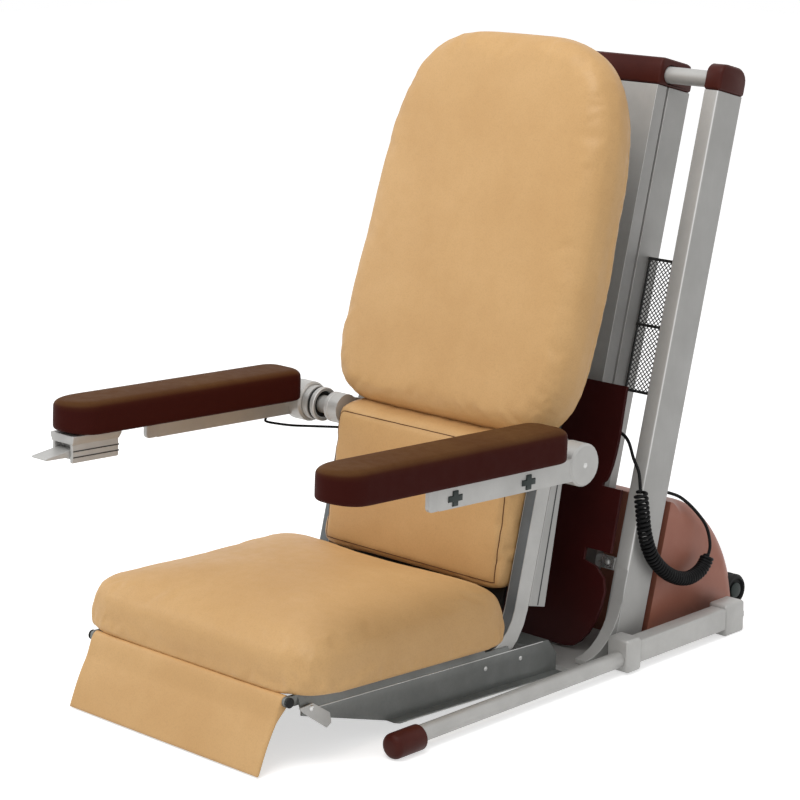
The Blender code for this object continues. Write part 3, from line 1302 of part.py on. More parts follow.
# Armrests
def make_arms():
    for side, sign in SIDES:
        profile = [
            (0.0, HINGE_PIN), (HINGE_PIN_RADIUS, HINGE_PIN), (HINGE_PIN_RADIUS, 0.0), (HINGE_BARREL_RADIUS, 0.0),
            (HINGE_BARREL_RADIUS, -HINGE_BARREL), (HINGE_NECK_RADIUS, -HINGE_BARREL),
            (HINGE_NECK_RADIUS, -HINGE_BARREL - HINGE_NECK), (HINGE_FLANGE_RADIUS, -HINGE_BARREL - HINGE_NECK),
            (HINGE_FLANGE_RADIUS, HINGE_X - BARREL_END_X), (0.0, HINGE_X - BARREL_END_X),
        ]
        hinge = settled(turned("arm_hinge_" + side, profile, 20))
        hinge.data.transform(Matrix.Rotation(sign * math.pi / 2, 4, "Y"))
        hinge.data.transform(Matrix.Translation((sign * BARREL_END_X, HINGE_Y, HINGE_Z)))
        finish(hinge, root, GREY_PAINT)

        frame = empty("arm_frame_" + side, (0.0, HINGE_Y, HINGE_Z), root, -ARM_TILT)
        low_x, high_x = sorted((sign * (BAR_X - BAR_WIDTH / 2), sign * (BAR_X + BAR_WIDTH / 2)))
        top = PAD_BOTTOM - GAP
        outline = [(0.0, BAR_BOTTOM), (0.0, top), (-BAR_REACH, top)]
        for step in range(4):
            angle = math.pi / 6 * step
            along = BAR_CORNER * (1.0 - math.cos(angle)) - BAR_REACH
            outline.append((along, BAR_BOTTOM + BAR_CORNER * (1.0 - math.sin(angle))))
        bar = side_solid("arm_bar_" + side, [outline], low_x, high_x)
        flange_low, flange_high = sorted((sign * (BAR_X - BAR_WIDTH / 2 - BAR_FLANGE), sign * BAR_X))
        flange = box(
            "arm_flange_" + side, (flange_low, BAR_CORNER - BAR_REACH, top - GAP - BAR_FLANGE_THICKNESS),
            (flange_high, -DISC_RADIUS - BAR_CORNER, top - GAP),
        )
        flange.parent = frame
        join(bar, flange)
        disc_low, disc_high = sorted((sign * DISC_START_X, sign * (DISC_START_X + DISC_WIDTH)))
        disc = rod("arm_disc_" + side, DISC_RADIUS, disc_low, disc_high)
        disc.parent = frame
        join(bar, ease(disc, 0.003, 1))
        pin_low, pin_high = sorted((sign * (DISC_START_X - 0.01), sign * (BARREL_END_X + HINGE_PIN + GAP)))
        pin_hole = rod("arm_bore_" + side, HINGE_PIN_RADIUS + PIN_CLEARANCE, pin_low, pin_high)
        pin_hole.parent = frame
        cut(bar, pin_hole)
        finish(bar, frame, GREY_PAINT)

        half = PAD_WIDTH / 2
        reach = (PAD_REAR - PAD_FRONT) / 2
        chamfer = PAD_REAR_CHAMFER
        plan = [(half, 0.0), (half, reach - chamfer), (half - chamfer / 2, reach)]
        plan += [(chamfer / 2 - half, reach), (-half, reach - chamfer), (-half, 0.0), (-half, PAD_NOSE - reach)]
        for step in range(1, 8):
            angle = math.pi * step / 8
            plan.append((-half * math.cos(angle), PAD_NOSE - reach - PAD_NOSE * math.sin(angle)))
        plan += [(half, PAD_NOSE - reach)]
        dome = PAD_DOME
        shoulder = PAD_THICKNESS - dome
        levels = [
            (PAD_EDGE, 0.0), (0.0, PAD_EDGE), (0.0, shoulder), (dome * 0.15, shoulder + dome * 0.45),
            (dome * 0.45, shoulder + dome * 0.78), (dome * 0.95, shoulder + dome * 0.95),
        ]
        pad = cushion("arm_pad_" + side, plan, levels, 0.0, PAD_THICKNESS)
        pad.data.transform(Matrix.Translation((sign * PAD_X, (PAD_REAR + PAD_FRONT) / 2, PAD_BOTTOM)))
        finish(pad, frame, PAD_BROWN)
    return frame


def make_switch(frame):
    """Box and rocking paddle under the front of the sitter's right pad."""
    half = SWITCH_WIDTH / 2
    notch = PADDLE_WIDTH / 2 + GAP
    front = SWITCH_FRONT
    plan = [
        (SWITCH_X - half, front), (SWITCH_X - notch, front), (SWITCH_X - notch, front + SWITCH_NOTCH),
        (SWITCH_X + notch, front + SWITCH_NOTCH), (SWITCH_X + notch, front), (SWITCH_X + half, front),
        (SWITCH_X + half, SWITCH_REAR), (SWITCH_X - half, SWITCH_REAR),
    ]
    top = PAD_BOTTOM - GAP
    case = outline_solid("switch_box", [plan], top - SWITCH_HEIGHT, top)
    finish(case, frame, GREY_PAINT)

    pivot_y = SWITCH_FRONT + SWITCH_NOTCH - PADDLE_BOSS_RADIUS - GAP
    pivot_z = top - PADDLE_PIVOT_DROP
    pivot = empty("paddle_frame", (0.0, pivot_y, pivot_z), frame)
    boss = PADDLE_BOSS_RADIUS
    outline = arc((0.0, 0.0), boss, -70, 110, 8)
    outline += [(-PADDLE_REACH, -0.002), (-PADDLE_REACH - 0.001, -0.002 - PADDLE_TIP)]
    paddle = side_solid("switch_paddle", [outline], SWITCH_X - PADDLE_WIDTH / 2, SWITCH_X + PADDLE_WIDTH / 2)
    finish(paddle, pivot, GREY_PAINT)


# Cords
def smooth_route(points, count):
    """Even samples of a smooth curve through a route's points."""
    places = [Vector(point) for point in points]
    ends = [2 * places[0] - places[1]] + places + [2 * places[-1] - places[-2]]
    fine = []
    for index in range(1, len(ends) - 2):
        a, b, c, d = ends[index - 1:index + 3]
        for step in range(24):
            t = step / 24
            first = 2 * b + (c - a) * t
            second = (2 * a - 5 * b + 4 * c - d) * t * t
            third = (3 * b - a - 3 * c + d) * t * t * t
            fine.append((first + second + third) / 2)
    fine.append(places[-1])
    lengths = [0.0]
    for before, after in zip(fine, fine[1:]):
        lengths.append(lengths[-1] + (after - before).length)
    samples = []
    index = 0
    for step in range(count):
        wanted = lengths[-1] * step / (count - 1)
        while index < len(fine) - 2 and lengths[index + 1] < wanted:
            index += 1
        span = lengths[index + 1] - lengths[index]
        samples.append(fine[index].lerp(fine[index + 1], (wanted - lengths[index]) / span))
    return samples, lengths[-1]


def cord_tube(name, points, radius, resolution, material):
    """One unbroken tube with closed ends along a list of points."""
    curve = bpy.data.curves.new(name, "CURVE")
    curve.dimensions = "3D"
    curve.bevel_depth = radius
    curve.bevel_resolution = resolution
    curve.use_fill_caps = True
    curve.twist_mode = "MINIMUM"
    spline = curve.splines.new("POLY")
    spline.points.add(len(points) - 1)
    for place, point in zip(spline.points, points):
        place.co = (*point, 1.0)
    tube = bpy.data.objects.new(name, curve)
    parts.objects.link(tube)
    tube.parent = root
    curve.materials.append(material)
    return tube


def carriage_gland_place():
    """Where the cord leaves the carriage's side, in the chair frame."""
    return (CARRIAGE_OUTER_X + GAP, *mast_point(CARRIAGE_GLAND_DEPTH, CARRIAGE_GLAND_RISE))


def column_gland_place(reach):
    """A point at some reach behind the left column's rear face, where the cord goes in."""
    middle = (COLUMN_INNER_X + COLUMN_OUTER_X) / 2
    return (middle, *mast_point(COLUMN_DEPTH + GAP + reach, COLUMN_GLAND_RISE))


def curly_route():
    """Route of the curly cord in the chair frame, from the carriage out past the column and back behind it."""
    out_x, out_y, out_z = carriage_gland_place()
    tip = GLAND_LENGTH + GAP
    start = [(out_x + tip, out_y, out_z), (out_x + tip + CORD_STUB, out_y, out_z)]
    passing = []
    for x, depth, rise in ((0.185, 0.002, 0.350), (0.208, -0.008, 0.340), (0.232, -0.020, 0.318), (0.251, -0.026, 0.300)):
        passing.append((x, *mast_point(depth, rise)))
    hang = [CURL_FIRST]
    for x, ahead, z in (
        (0.262, 0.0494, 0.240), (0.262, 0.0574, 0.199), (0.262, 0.0764, 0.160), (0.262, 0.1134, 0.126),
        (0.262, 0.1594, 0.107), (0.262, 0.1964, 0.112),
    ):
        hang.append((x, MAST_FOOT_Y + ahead, z))
    hang.append(CURL_LAST)
    for x, ahead, z in (
        (0.261, 0.2214, 0.152), (0.2555, 0.2164, 0.180), (0.2475, 0.1964, 0.208), (0.239, 0.1724, 0.2305),
    ):
        hang.append((x, MAST_FOOT_Y + ahead, z))
    end = [column_gland_place(tip + CORD_STUB), column_gland_place(tip)]
    return start + passing + hang + end


def nearest(samples, place):
    """Index of the sample nearest to a place."""
    target = Vector(place)
    return min(range(len(samples)), key=lambda index: (samples[index] - target).length)


def curls_along(samples, first, last):
    """Curls wound round the stretch of samples between two indices, growing and shrinking at its ends."""
    total = CURL_COUNT * CURL_POINTS
    side = Vector((1.0, 0.0, 0.0))
    curls = []
    for step in range(total + 1):
        share = step / total
        place = first + (last - first) * share
        index = min(int(place), last - 1)
        point = samples[index].lerp(samples[index + 1], place - index)
        along = (samples[index + 2] - samples[index - 1]).normalized()
        side = (side - along * side.dot(along)).normalized()
        across = along.cross(side)
        ramp = min(1.0, share * CURL_COUNT, (1.0 - share) * CURL_COUNT)
        angle = 2 * math.pi * step / CURL_POINTS
        reach = CURL_RADIUS * math.sin(ramp * math.pi / 2)
        curls.append(point + (side * math.cos(angle) + across * math.sin(angle)) * reach)
    return curls


def make_curly_cord():
    """The cord between the carriage and the column, with a gland at each end."""
    route = curly_route()
    samples, length = smooth_route(route, 401)
    first = nearest(samples, CURL_FIRST)
    last = nearest(samples, CURL_LAST)
    begin = Vector(route[0])
    finish_at = Vector(route[-1])
    lead = [begin, begin.lerp(Vector(route[1]), 0.6)]
    lead += [samples[step] for step in range(8, first - 2, 8) if (samples[step] - begin).length > CORD_STUB]
    tail = [samples[step] for step in range(last + 6, 395, 7) if (samples[step] - finish_at).length > CORD_STUB]
    tail += [finish_at.lerp(Vector(route[-2]), 0.6), finish_at]
    points = lead + curls_along(samples, first, last) + tail
    least = min(
        (one - other).length
        for place, one in enumerate(points)
        for other in points[place + CURL_POINTS - 2:]
    )
    wire = sum((after - before).length for before, after in zip(points, points[1:]))
    print("curly cord: least gap to itself %.2f mm" % ((least - 2 * CORD_RADIUS) * 1000))
    print("curly cord: route %.3f m, wire %.3f m" % (length, wire))
    cord_tube("curly_cord", points, CORD_RADIUS, 1, BLACK_PLASTIC)

    profile = [
        (0.0, GLAND_LENGTH), (CORD_RADIUS + 0.0015, GLAND_LENGTH), (GLAND_RADIUS, 0.002), (GLAND_RADIUS, 0.0), (0.0, 0.0),
    ]
    gland = settled(turned("carriage_gland", profile, 16))
    gland.data.transform(Matrix.Rotation(math.pi / 2, 4, "Y"))
    gland.data.transform(Matrix.Translation(carriage_gland_place()))
    finish(gland, root, BLACK_PLASTIC)
    gland = settled(turned("column_gland", profile, 16))
    gland.data.transform(Matrix.Rotation(-math.pi / 2 - LEAN, 4, "X"))
    gland.data.transform(Matrix.Translation(column_gland_place(0.0)))
    finish(gland, root, BLACK_PLASTIC)


def make_arm_cable():
    """The thin cable from the sitter's right arm bar under the hinge to the side frame."""
    cosine = math.cos(ARM_TILT)
    sine = math.sin(ARM_TILT)
    y = HINGE_Y - CABLE_BACK * cosine + BAR_BOTTOM * sine
    z = HINGE_Z + CABLE_BACK * sine + BAR_BOTTOM * cosine
    stub = 3 * CABLE_RADIUS
    start = Vector((-BAR_X, y - GAP * sine, z - GAP * cosine))
    down = Vector((0.0, -sine, -cosine))
    end = Vector((-HINGE_X, y + CABLE_RUN, z - CABLE_DROP))
    out = Vector((-1.0, 0.0, 0.0))
    span = end - start
    route = [start, start + down * stub]
    for share, drop in ((0.22, 0.014), (0.45, 0.018), (0.70, 0.019)):
        across = start.x + span.x * share * share
        route.append(Vector((across, start.y + span.y * (share + 0.06), start.z - drop)))
    route += [end + out * stub, end]
    samples, length = smooth_route(route, 41)
    points = [start, start + down * (stub * 0.6)]
    points += [place for place in samples[2:-2:2] if min((place - start).length, (place - end).length) > stub]
    points += [end + out * (stub * 0.6), end]
    print("arm cable: length %.3f m" % length)
    cord_tube("arm_cable", points, CABLE_RADIUS, 2, BLACK_PLASTIC)


make_rails()
make_floor_plate()
make_wheels()
make_columns()
make_mast()
make_screens()
make_cover()
make_drive()
make_carriage()
make_shield()
make_back_frame()
make_cushions()
make_seat_pan()
make_switch(make_arms())
make_curly_cord()
make_arm_cable()
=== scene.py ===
# Lift floor chair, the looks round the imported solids.
# Metres. Chair places have Y = 0 at the seat's front edge, and chair["shift"] and chair["sink"] bring them to the
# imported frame.
import json
import math

import bmesh
import bpy
import numpy as np
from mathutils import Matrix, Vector
from mathutils.bvhtree import BVHTree

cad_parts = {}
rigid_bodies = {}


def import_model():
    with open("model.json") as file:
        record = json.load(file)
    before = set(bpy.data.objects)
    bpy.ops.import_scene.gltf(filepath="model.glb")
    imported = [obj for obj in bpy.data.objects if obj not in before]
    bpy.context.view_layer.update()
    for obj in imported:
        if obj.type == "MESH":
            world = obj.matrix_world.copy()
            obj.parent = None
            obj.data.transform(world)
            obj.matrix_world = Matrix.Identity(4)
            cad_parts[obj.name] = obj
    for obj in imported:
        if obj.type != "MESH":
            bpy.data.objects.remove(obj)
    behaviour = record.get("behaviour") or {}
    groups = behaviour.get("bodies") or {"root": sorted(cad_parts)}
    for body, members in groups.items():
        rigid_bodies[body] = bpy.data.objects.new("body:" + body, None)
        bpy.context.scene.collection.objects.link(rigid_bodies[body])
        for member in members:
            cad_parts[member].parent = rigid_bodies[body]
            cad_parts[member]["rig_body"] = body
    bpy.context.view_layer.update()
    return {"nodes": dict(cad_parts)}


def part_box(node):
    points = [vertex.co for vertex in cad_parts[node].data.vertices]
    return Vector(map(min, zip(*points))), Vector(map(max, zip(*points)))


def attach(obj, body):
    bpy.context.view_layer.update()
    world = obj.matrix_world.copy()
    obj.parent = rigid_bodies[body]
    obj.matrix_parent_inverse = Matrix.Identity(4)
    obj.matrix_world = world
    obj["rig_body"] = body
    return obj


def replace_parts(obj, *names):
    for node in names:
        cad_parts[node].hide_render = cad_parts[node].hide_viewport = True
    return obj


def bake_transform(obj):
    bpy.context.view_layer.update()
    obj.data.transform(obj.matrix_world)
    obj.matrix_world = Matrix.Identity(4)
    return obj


for leftover in list(bpy.data.objects):
    bpy.data.objects.remove(leftover, do_unlink=True)
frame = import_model()
nodes = frame["nodes"]
scene = bpy.context.scene
print("frame loaded, %d solids" % len(nodes))

# lean, foot Y and foot Z of each part of the chair that stands at its own angle
chair = {
    "shift": -0.465023,
    "sink": -0.002,
    "floor": (0.0, 0.0, 0.0),
    "mast": (math.radians(15.0), 0.6316, 0.0),
    "seat": (math.radians(2.6), 0.0, 0.109),
    "back": (math.radians(18.0), 0.571, 0.3505),
    "arm": (math.radians(2.7), 0.500, 0.352),
}


def placed(where, x, depth, rise):
    # depth runs back and rise runs up, both turned by the lean about the foot
    lean, footY, footZ = chair[where]
    x, depth, rise = np.broadcast_arrays(np.asarray(x, float), depth, rise)
    y = footY + chair["shift"] + rise * math.sin(lean) + depth * math.cos(lean)
    z = footZ + chair["sink"] + rise * math.cos(lean) - depth * math.sin(lean)
    return np.stack([x, y, z], -1)


# camera, as the photograph was taken
shot = {"place": (2.6614, -2.3313, 1.3410), "round": 44.0, "above": 13.63, "lens": 118.6, "sensor": 36.0}


def makeCamera():
    # stands at its place and looks along its two angles
    eye = bpy.data.cameras.new("shotCamera")
    eye.sensor_width = shot["sensor"]
    eye.lens = shot["lens"]
    eye.clip_end = 60.0
    holder = bpy.data.objects.new("shotCamera", eye)
    x, y, z = shot["place"]
    holder.location = (x, y + chair["shift"], z + chair["sink"])
    holder.rotation_euler = (math.radians(90.0 - shot["above"]), 0.0, math.radians(shot["round"]))
    scene.collection.objects.link(holder)
    scene.camera = holder


makeCamera()
print("camera set")


# node trees
def newFinish(name):
    # a material with its tree and its shader
    finish = bpy.data.materials.new(name)
    finish.use_nodes = True
    return finish, finish.node_tree, finish.node_tree.nodes["Principled BSDF"]


def addNode(tree, kind, values, **settings):
    # values are numbers or the sockets that feed this node
    made = tree.nodes.new(kind)
    for key, value in settings.items():
        setattr(made, key, value)
    for key, value in values.items():
        if isinstance(value, bpy.types.NodeSocket):
            tree.links.new(value, made.inputs[key])
        else:
            made.inputs[key].default_value = value
    return made


def calculated(tree, operation, *values):
    # one step of arithmetic
    return addNode(tree, "ShaderNodeMath", dict(enumerate(values)), operation=operation).outputs[0]


def mixed(tree, share, low, high):
    # colour between low and high
    return addNode(tree, "ShaderNodeMix", {0: share, 6: low, 7: high}, data_type="RGBA").outputs[2]


def ranged(tree, value, low, high, toLow, toHigh):
    # a value carried from one range to another along a straight line
    made = addNode(
        tree, "ShaderNodeMapRange",
        {"Value": value, "From Min": low, "From Max": high, "To Min": toLow, "To Max": toHigh},
    )
    return made.outputs["Result"]


def noise(tree, place, scale, detail=3.0, roughness=0.55):
    # soft noise from 0 to 1
    made = addNode(
        tree, "ShaderNodeTexNoise",
        {"Vector": place, "Scale": scale, "Detail": detail, "Roughness": roughness},
    )
    return made.outputs["Fac"]


def objectPlace(tree, stretch=(1.0, 1.0, 1.0), turn=(0.0, 0.0, 0.0)):
    # the piece's own place, stretched and turned where asked
    place = tree.nodes.new("ShaderNodeTexCoord").outputs["Object"]
    if stretch == (1.0, 1.0, 1.0) and turn == (0.0, 0.0, 0.0):
        return place
    return addNode(tree, "ShaderNodeMapping", {"Vector": place, "Rotation": turn, "Scale": stretch}).outputs["Vector"]


def added(tree, first, second, firstShare, secondShare):
    # first * firstShare + second * secondShare
    lower = calculated(tree, "MULTIPLY", second, secondShare)
    return calculated(tree, "MULTIPLY_ADD", first, firstShare, lower)


def bumped(tree, shader, height, strength, distance):
    # the surface tilts with the slope of the height
    bump = addNode(tree, "ShaderNodeBump", {"Height": height, "Strength": strength, "Distance": distance})
    tree.links.new(bump.outputs["Normal"], shader.inputs["Normal"])


# leather: pebbled grain with soft blotches, and a painted shade in the crease where a seam draws it in and where it
# tucks in under another cushion
def leatherFinish(name, light, dark, deep, grain, rough, gloss, side=None):
    finish, tree, shader = newFinish(name)
    place = objectPlace(tree)
    broad = noise(tree, place, 7.0, 4.0)
    blotch = noise(tree, place, 60.0, 4.0, 0.6)
    cells = addNode(tree, "ShaderNodeTexVoronoi", {"Vector": place, "Scale": grain}, feature="SMOOTH_F1")
    cells = cells.outputs["Distance"]
    crease = noise(tree, place, grain * 0.45, 5.0, 0.62)
    base = mixed(tree, ranged(tree, broad, 0.35, 0.65, 0.0, 1.0), (*light, 1.0), (*dark, 1.0))
    base = mixed(tree, ranged(tree, blotch, 0.4, 0.75, 0.0, 0.35), base, (*dark, 1.0))
    pits = mixed(tree, ranged(tree, cells, 0.3, 0.8, 0.0, 0.12), base, (*deep, 1.0))
    fold = addNode(tree, "ShaderNodeAttribute", {}, attribute_name="fold").outputs["Fac"]
    # with a side colour, faces that don't look up take it as a painted shade, and those that look up keep the lit
    # colour
    if side:
        lit = addNode(tree, "ShaderNodeAttribute", {}, attribute_name="top").outputs["Fac"]
        pits = mixed(tree, lit, (*side, 1.0), pits)
    tree.links.new(mixed(tree, fold, pits, (*deep, 1.0)), shader.inputs["Base Color"])
    tree.links.new(ranged(tree, blotch, 0.3, 0.7, rough - 0.05, rough + 0.07), shader.inputs["Roughness"])
    bumped(tree, shader, added(tree, cells, crease, -0.7, 0.6), 0.16, 0.0008)
    shader.inputs["Specular IOR Level"].default_value = gloss
    return finish


# paint: a faint orange peel and a soft change of tone; with flank and corner colours the faces that look sideways
# are duller with a painted shade, and the rounds between them and the front are brighter with a painted highlight
def paintFinish(name, light, dark, rough, metal, peel=900.0, strength=0.10, streak=None, gloss=0.5, faces=None):
    finish, tree, shader = newFinish(name)
    place = objectPlace(tree, *(streak or ()))
    tone = noise(tree, objectPlace(tree), 14.0, 5.0, 0.6)
    fine = noise(tree, place, peel, 3.0)
    base = mixed(tree, ranged(tree, tone, 0.3, 0.7, 0.0, 1.0), (*light, 1.0), (*dark, 1.0))
    base = mixed(tree, ranged(tree, fine, 0.35, 0.8, 0.0, 0.45), base, (*dark, 1.0))
    # painted shade on the faces that look sideways, painted highlight on the rounds at their corners
    if faces:
        flank, corner = faces
        facing = addNode(tree, "ShaderNodeTexCoord", {}).outputs["Normal"]
        sideways = addNode(tree, "ShaderNodeSeparateXYZ", {"Vector": facing}).outputs["X"]
        sideways = calculated(tree, "ABSOLUTE", sideways)
        base = mixed(tree, ranged(tree, sideways, 0.5, 0.95, 0.0, 0.5), base, (*flank, 1.0))
        highlightOffset = calculated(tree, "ABSOLUTE", calculated(tree, "SUBTRACT", sideways, 0.62))
        base = mixed(tree, ranged(tree, highlightOffset, 0.05, 0.25, 0.8, 0.0), base, (*corner, 1.0))
    tree.links.new(base, shader.inputs["Base Color"])
    tree.links.new(ranged(tree, tone, 0.3, 0.7, rough - 0.06, rough + 0.08), shader.inputs["Roughness"])
    bumped(tree, shader, fine, strength, 0.0006)
    shader.inputs["Metallic"].default_value = metal
    shader.inputs["Specular IOR Level"].default_value = gloss
    return finish


leanStretch = ((1.0, 1.0, 0.05), (chair["mast"][0], 0.0, 0.0))    # brushed along the mast
finishes = {
    "tan": leatherFinish(
        "tanLeather", (0.66, 0.405, 0.175), (0.60, 0.355, 0.145), (0.27, 0.13, 0.045), 520.0, 0.50, 0.36,
    ),
    "pad": leatherFinish(
        "brownPadVinyl", (0.104, 0.045, 0.0140), (0.084, 0.033, 0.0108), (0.020, 0.006, 0.003), 640.0, 0.62, 0.06,
        # side colour: a painted shade for the pads' sides
        (0.041, 0.0062, 0.0042),
    ),
    "seam": leatherFinish(
        "seamThread", (0.115, 0.048, 0.018), (0.085, 0.034, 0.013), (0.05, 0.02, 0.01), 900.0, 0.7, 0.2,
    ),
    "shield": paintFinish("maroonPaint", (0.056, 0.0082, 0.0074), (0.038, 0.0052, 0.0048), 0.42, 0.0, gloss=0.18),
    "cap": paintFinish(
        "brownCapPlastic", (0.076, 0.0150, 0.0100), (0.050, 0.0085, 0.0060), 0.42, 0.0, 700.0, 0.14, gloss=0.14,
    ),
    "cover": paintFinish(
        "redBrownCover", (0.385, 0.144, 0.093), (0.325, 0.118, 0.077), 0.42, 0.0, 650.0, 0.12, gloss=0.35,
    ),
    # brushed aluminium, with a painted shade on its side faces and a painted highlight on the rounds beside them
    "aluminium": paintFinish(
        "brushedAluminium", (0.54, 0.535, 0.52), (0.44, 0.435, 0.42), 0.42, 0.22, 500.0, 0.10, leanStretch,
        faces=((0.28, 0.275, 0.265), (0.86, 0.86, 0.85)),
    ),
    "silver": paintFinish("silverPaint", (0.55, 0.545, 0.525), (0.45, 0.445, 0.43), 0.38, 0.22, 800.0, 0.16),
    "panGrey": paintFinish("panGreyPaint", (0.222, 0.231, 0.222), (0.158, 0.165, 0.159), 0.40, 0.30, 260.0, 0.16),
    # blue-grey: a painted reflection for the side frames' fronts
    "frameGrey": paintFinish("blueGreyPaintedReflection", (0.150, 0.170, 0.185), (0.105, 0.120, 0.130), 0.45, 0.10, 600.0, 0.10),
    "steel": paintFinish("brightSteel", (0.72, 0.72, 0.70), (0.56, 0.56, 0.55), 0.28, 0.75, 600.0, 0.05),
    "mesh": paintFinish("darkMesh", (0.040, 0.040, 0.040), (0.022, 0.022, 0.022), 0.5, 0.2),
    "rubber": paintFinish(
        "blackRubber", (0.014, 0.014, 0.014), (0.008, 0.008, 0.008), 0.68, 0.0, 500.0, 0.2, gloss=0.25,
    ),
    "knob": paintFinish(
        "darkKnobPlastic", (0.040, 0.052, 0.048), (0.026, 0.034, 0.032), 0.5, 0.0, 500.0, 0.12, gloss=0.25,
    ),
    "cord": paintFinish(
        "blackCord", (0.0050, 0.0050, 0.0055), (0.0030, 0.0030, 0.0034), 0.50, 0.0, 900.0, 0.1, gloss=0.14,
    ),
    "glide": paintFinish("glidePlastic", (0.50, 0.50, 0.48), (0.42, 0.42, 0.40), 0.55, 0.0),
}
print("finishes mixed")


# meshes from arrays
def gridFaces(rows, columns, loopRows=False, loopColumns=False):
    # the quads of a grid of points, closed round either way
    row, column = np.meshgrid(
        np.arange(rows - (not loopRows)), np.arange(columns - (not loopColumns)), indexing="ij"
    )
    nextRow = (row + 1) % rows
    nextColumn = (column + 1) % columns
    corners = ((row, column), (row, nextColumn), (nextRow, nextColumn), (nextRow, column))
    return np.stack([r * columns + c for r, c in corners], -1).reshape(-1, 4)


def cappedFaces(rows, columns, loopColumns=False):
    # the same, with the first and the last row filled in
    ends = [list(range(columns)), list(range((rows - 1) * columns, rows * columns))]
    return gridFaces(rows, columns, False, loopColumns).tolist() + ends


def meshOf(name, points, faces):
    # merged, with every face turned outwards
    mesh = bpy.data.meshes.new(name)
    mesh.from_pydata(np.asarray(points, float).reshape(-1, 3), [], [list(face) for face in faces])
    work = bmesh.new()
    work.from_mesh(mesh)
    bmesh.ops.remove_doubles(work, verts=work.verts, dist=0.000004)
    bmesh.ops.dissolve_degenerate(work, dist=0.000002, edges=work.edges)
    bmesh.ops.recalc_face_normals(work, faces=work.faces)
    work.to_mesh(mesh)
    work.free()
    return mesh


def piece(name, mesh, finish, body, sharp=35.0):
    # a mesh as an object with its finish, body and slot, smooth up to the sharp angle
    mesh.materials.clear()
    mesh.materials.append(finishes[finish])
    mesh.polygons.foreach_set("use_smooth", np.ones(len(mesh.polygons), bool))
    mesh.set_sharp_from_angle(angle=math.radians(sharp))
    made = bpy.data.objects.new(name, mesh)
    scene.collection.objects.link(made)
    if body:
        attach(made, body)
    return made


def gridPiece(name, grid, finish, body, loopRows=False, loopColumns=False, sharp=35.0):
    # a surface given as rows and columns of points
    rows, columns = grid.shape[:2]
    mesh = meshOf(name, grid, gridFaces(rows, columns, loopRows, loopColumns))
    return piece(name, mesh, finish, body, sharp)


def cappedPiece(name, grid, finish, body, sharp=35.0):
    # rows of closed rings, with the first and the last ring filled in
    return piece(name, meshOf(name, grid, cappedFaces(*grid.shape[:2], True)), finish, body, sharp)


def edgeStrip(name, line, normal, across, finish, body, sink=0.0004, proud=0.0005):
    # a flat strip along a side line (y, z) between two x, sunk a little into what it lies on
    inner, outer = line - normal * sink, line + normal * proud
    low, high = (np.full((len(line), 1), x) for x in across)
    ring = [np.hstack(pair) for pair in ((low, inner), (high, inner), (high, outer), (low, outer))]
    return cappedPiece(name, np.stack(ring, 1), finish, body, 30.0)


def rounded(made, width, segments=2, angle=32.0):
    # every edge past the angle gets a small round
    edge = made.modifiers.new("edge", "BEVEL")
    edge.width = width
    edge.segments = segments
    edge.limit_method = "ANGLE"
    edge.angle_limit = math.radians(angle)
    edge.harden_normals = True
    return made


def subdivided(made):
    # one step of subdivision
    smooth = made.modifiers.new("smooth", "SUBSURF")
    smooth.levels = 1
    smooth.render_levels = 1


def placesOf(mesh):
    # the places of a mesh's points, one row each
    points = np.zeros(len(mesh.vertices) * 3)
    mesh.vertices.foreach_get("co", points)
    return points.reshape(-1, 3)


def evaluatedMesh(holder):
    # a new mesh of what an object's curve or modifiers make
    return bpy.data.meshes.new_from_object(holder.evaluated_get(bpy.context.evaluated_depsgraph_get()))


def quarterTurn(count):
    # even angles from 0 to 90 degrees
    return np.linspace(0.0, math.pi / 2, count)


def unit(rows):
    # each row brought to length 1
    return rows / np.linalg.norm(rows, axis=1)[:, None]


def spun(name, profile, count, axis, origin, finish, body, sharp=35.0, closed=False):
    # a profile of (radius, height) turned round the named axis, with its height counted from the origin
    radius, height = np.asarray(profile, float).T
    turn = np.linspace(0.0, 2.0 * math.pi, count, endpoint=False)[:, None]
    level = np.broadcast_to(height, (count, len(height)))
    grid = np.stack([np.cos(turn) * radius, np.sin(turn) * radius, level], -1)
    order = {"x": (2, 0, 1), "y": (1, 2, 0)}[axis]
    return gridPiece(name, grid[:, :, order] + np.asarray(origin, float), finish, body, True, closed, sharp)


def mirrored(profile, sign):
    # the heights of a profile on the side that the sign names
    return np.asarray(profile, float) * np.array([1.0, sign])


def boxCorners(*spans):
    # the corners of a box from the two ends of each span
    return np.stack(np.meshgrid(*spans, indexing="ij"), -1).reshape(-1, len(spans))


def boxFaces(count):
    # the six sides of boxes whose eight corners follow one another
    sides = np.array([(0, 1, 3, 2), (4, 6, 7, 5), (0, 4, 5, 1), (2, 3, 7, 6), (0, 2, 6, 4), (1, 5, 7, 3)])
    return (np.arange(count)[:, None, None] * 8 + sides[None]).reshape(-1, 4)


def smoothStep(value, low, high):
    # 3 s^2 - 2 s^3 of the share s between low and high
    share = np.clip((value - low) / (high - low), 0.0, 1.0)
    return share * share * (3.0 - 2.0 * share)


# cords first: a smooth line through the route's points, then a tube round it
def smoothLine(points, count):
    # even samples of a curve that passes through every point and leaves each along its neighbours' chord
    points = np.asarray(points, float)
    ends = np.vstack([2 * points[0] - points[1], points, 2 * points[-1] - points[-2]])
    t = (np.arange(40) / 40.0)[:, None, None]
    a, b, c, d = ends[:-3], ends[1:-2], ends[2:-1], ends[3:]
    bends = (2 * b + (c - a) * t + (2 * a - 5 * b + 4 * c - d) * t ** 2 + (3 * b - a - 3 * c + d) * t ** 3) / 2
    fine = np.vstack([bends.transpose(1, 0, 2).reshape(-1, 3), points[-1:]])
    return evenly(fine, count)


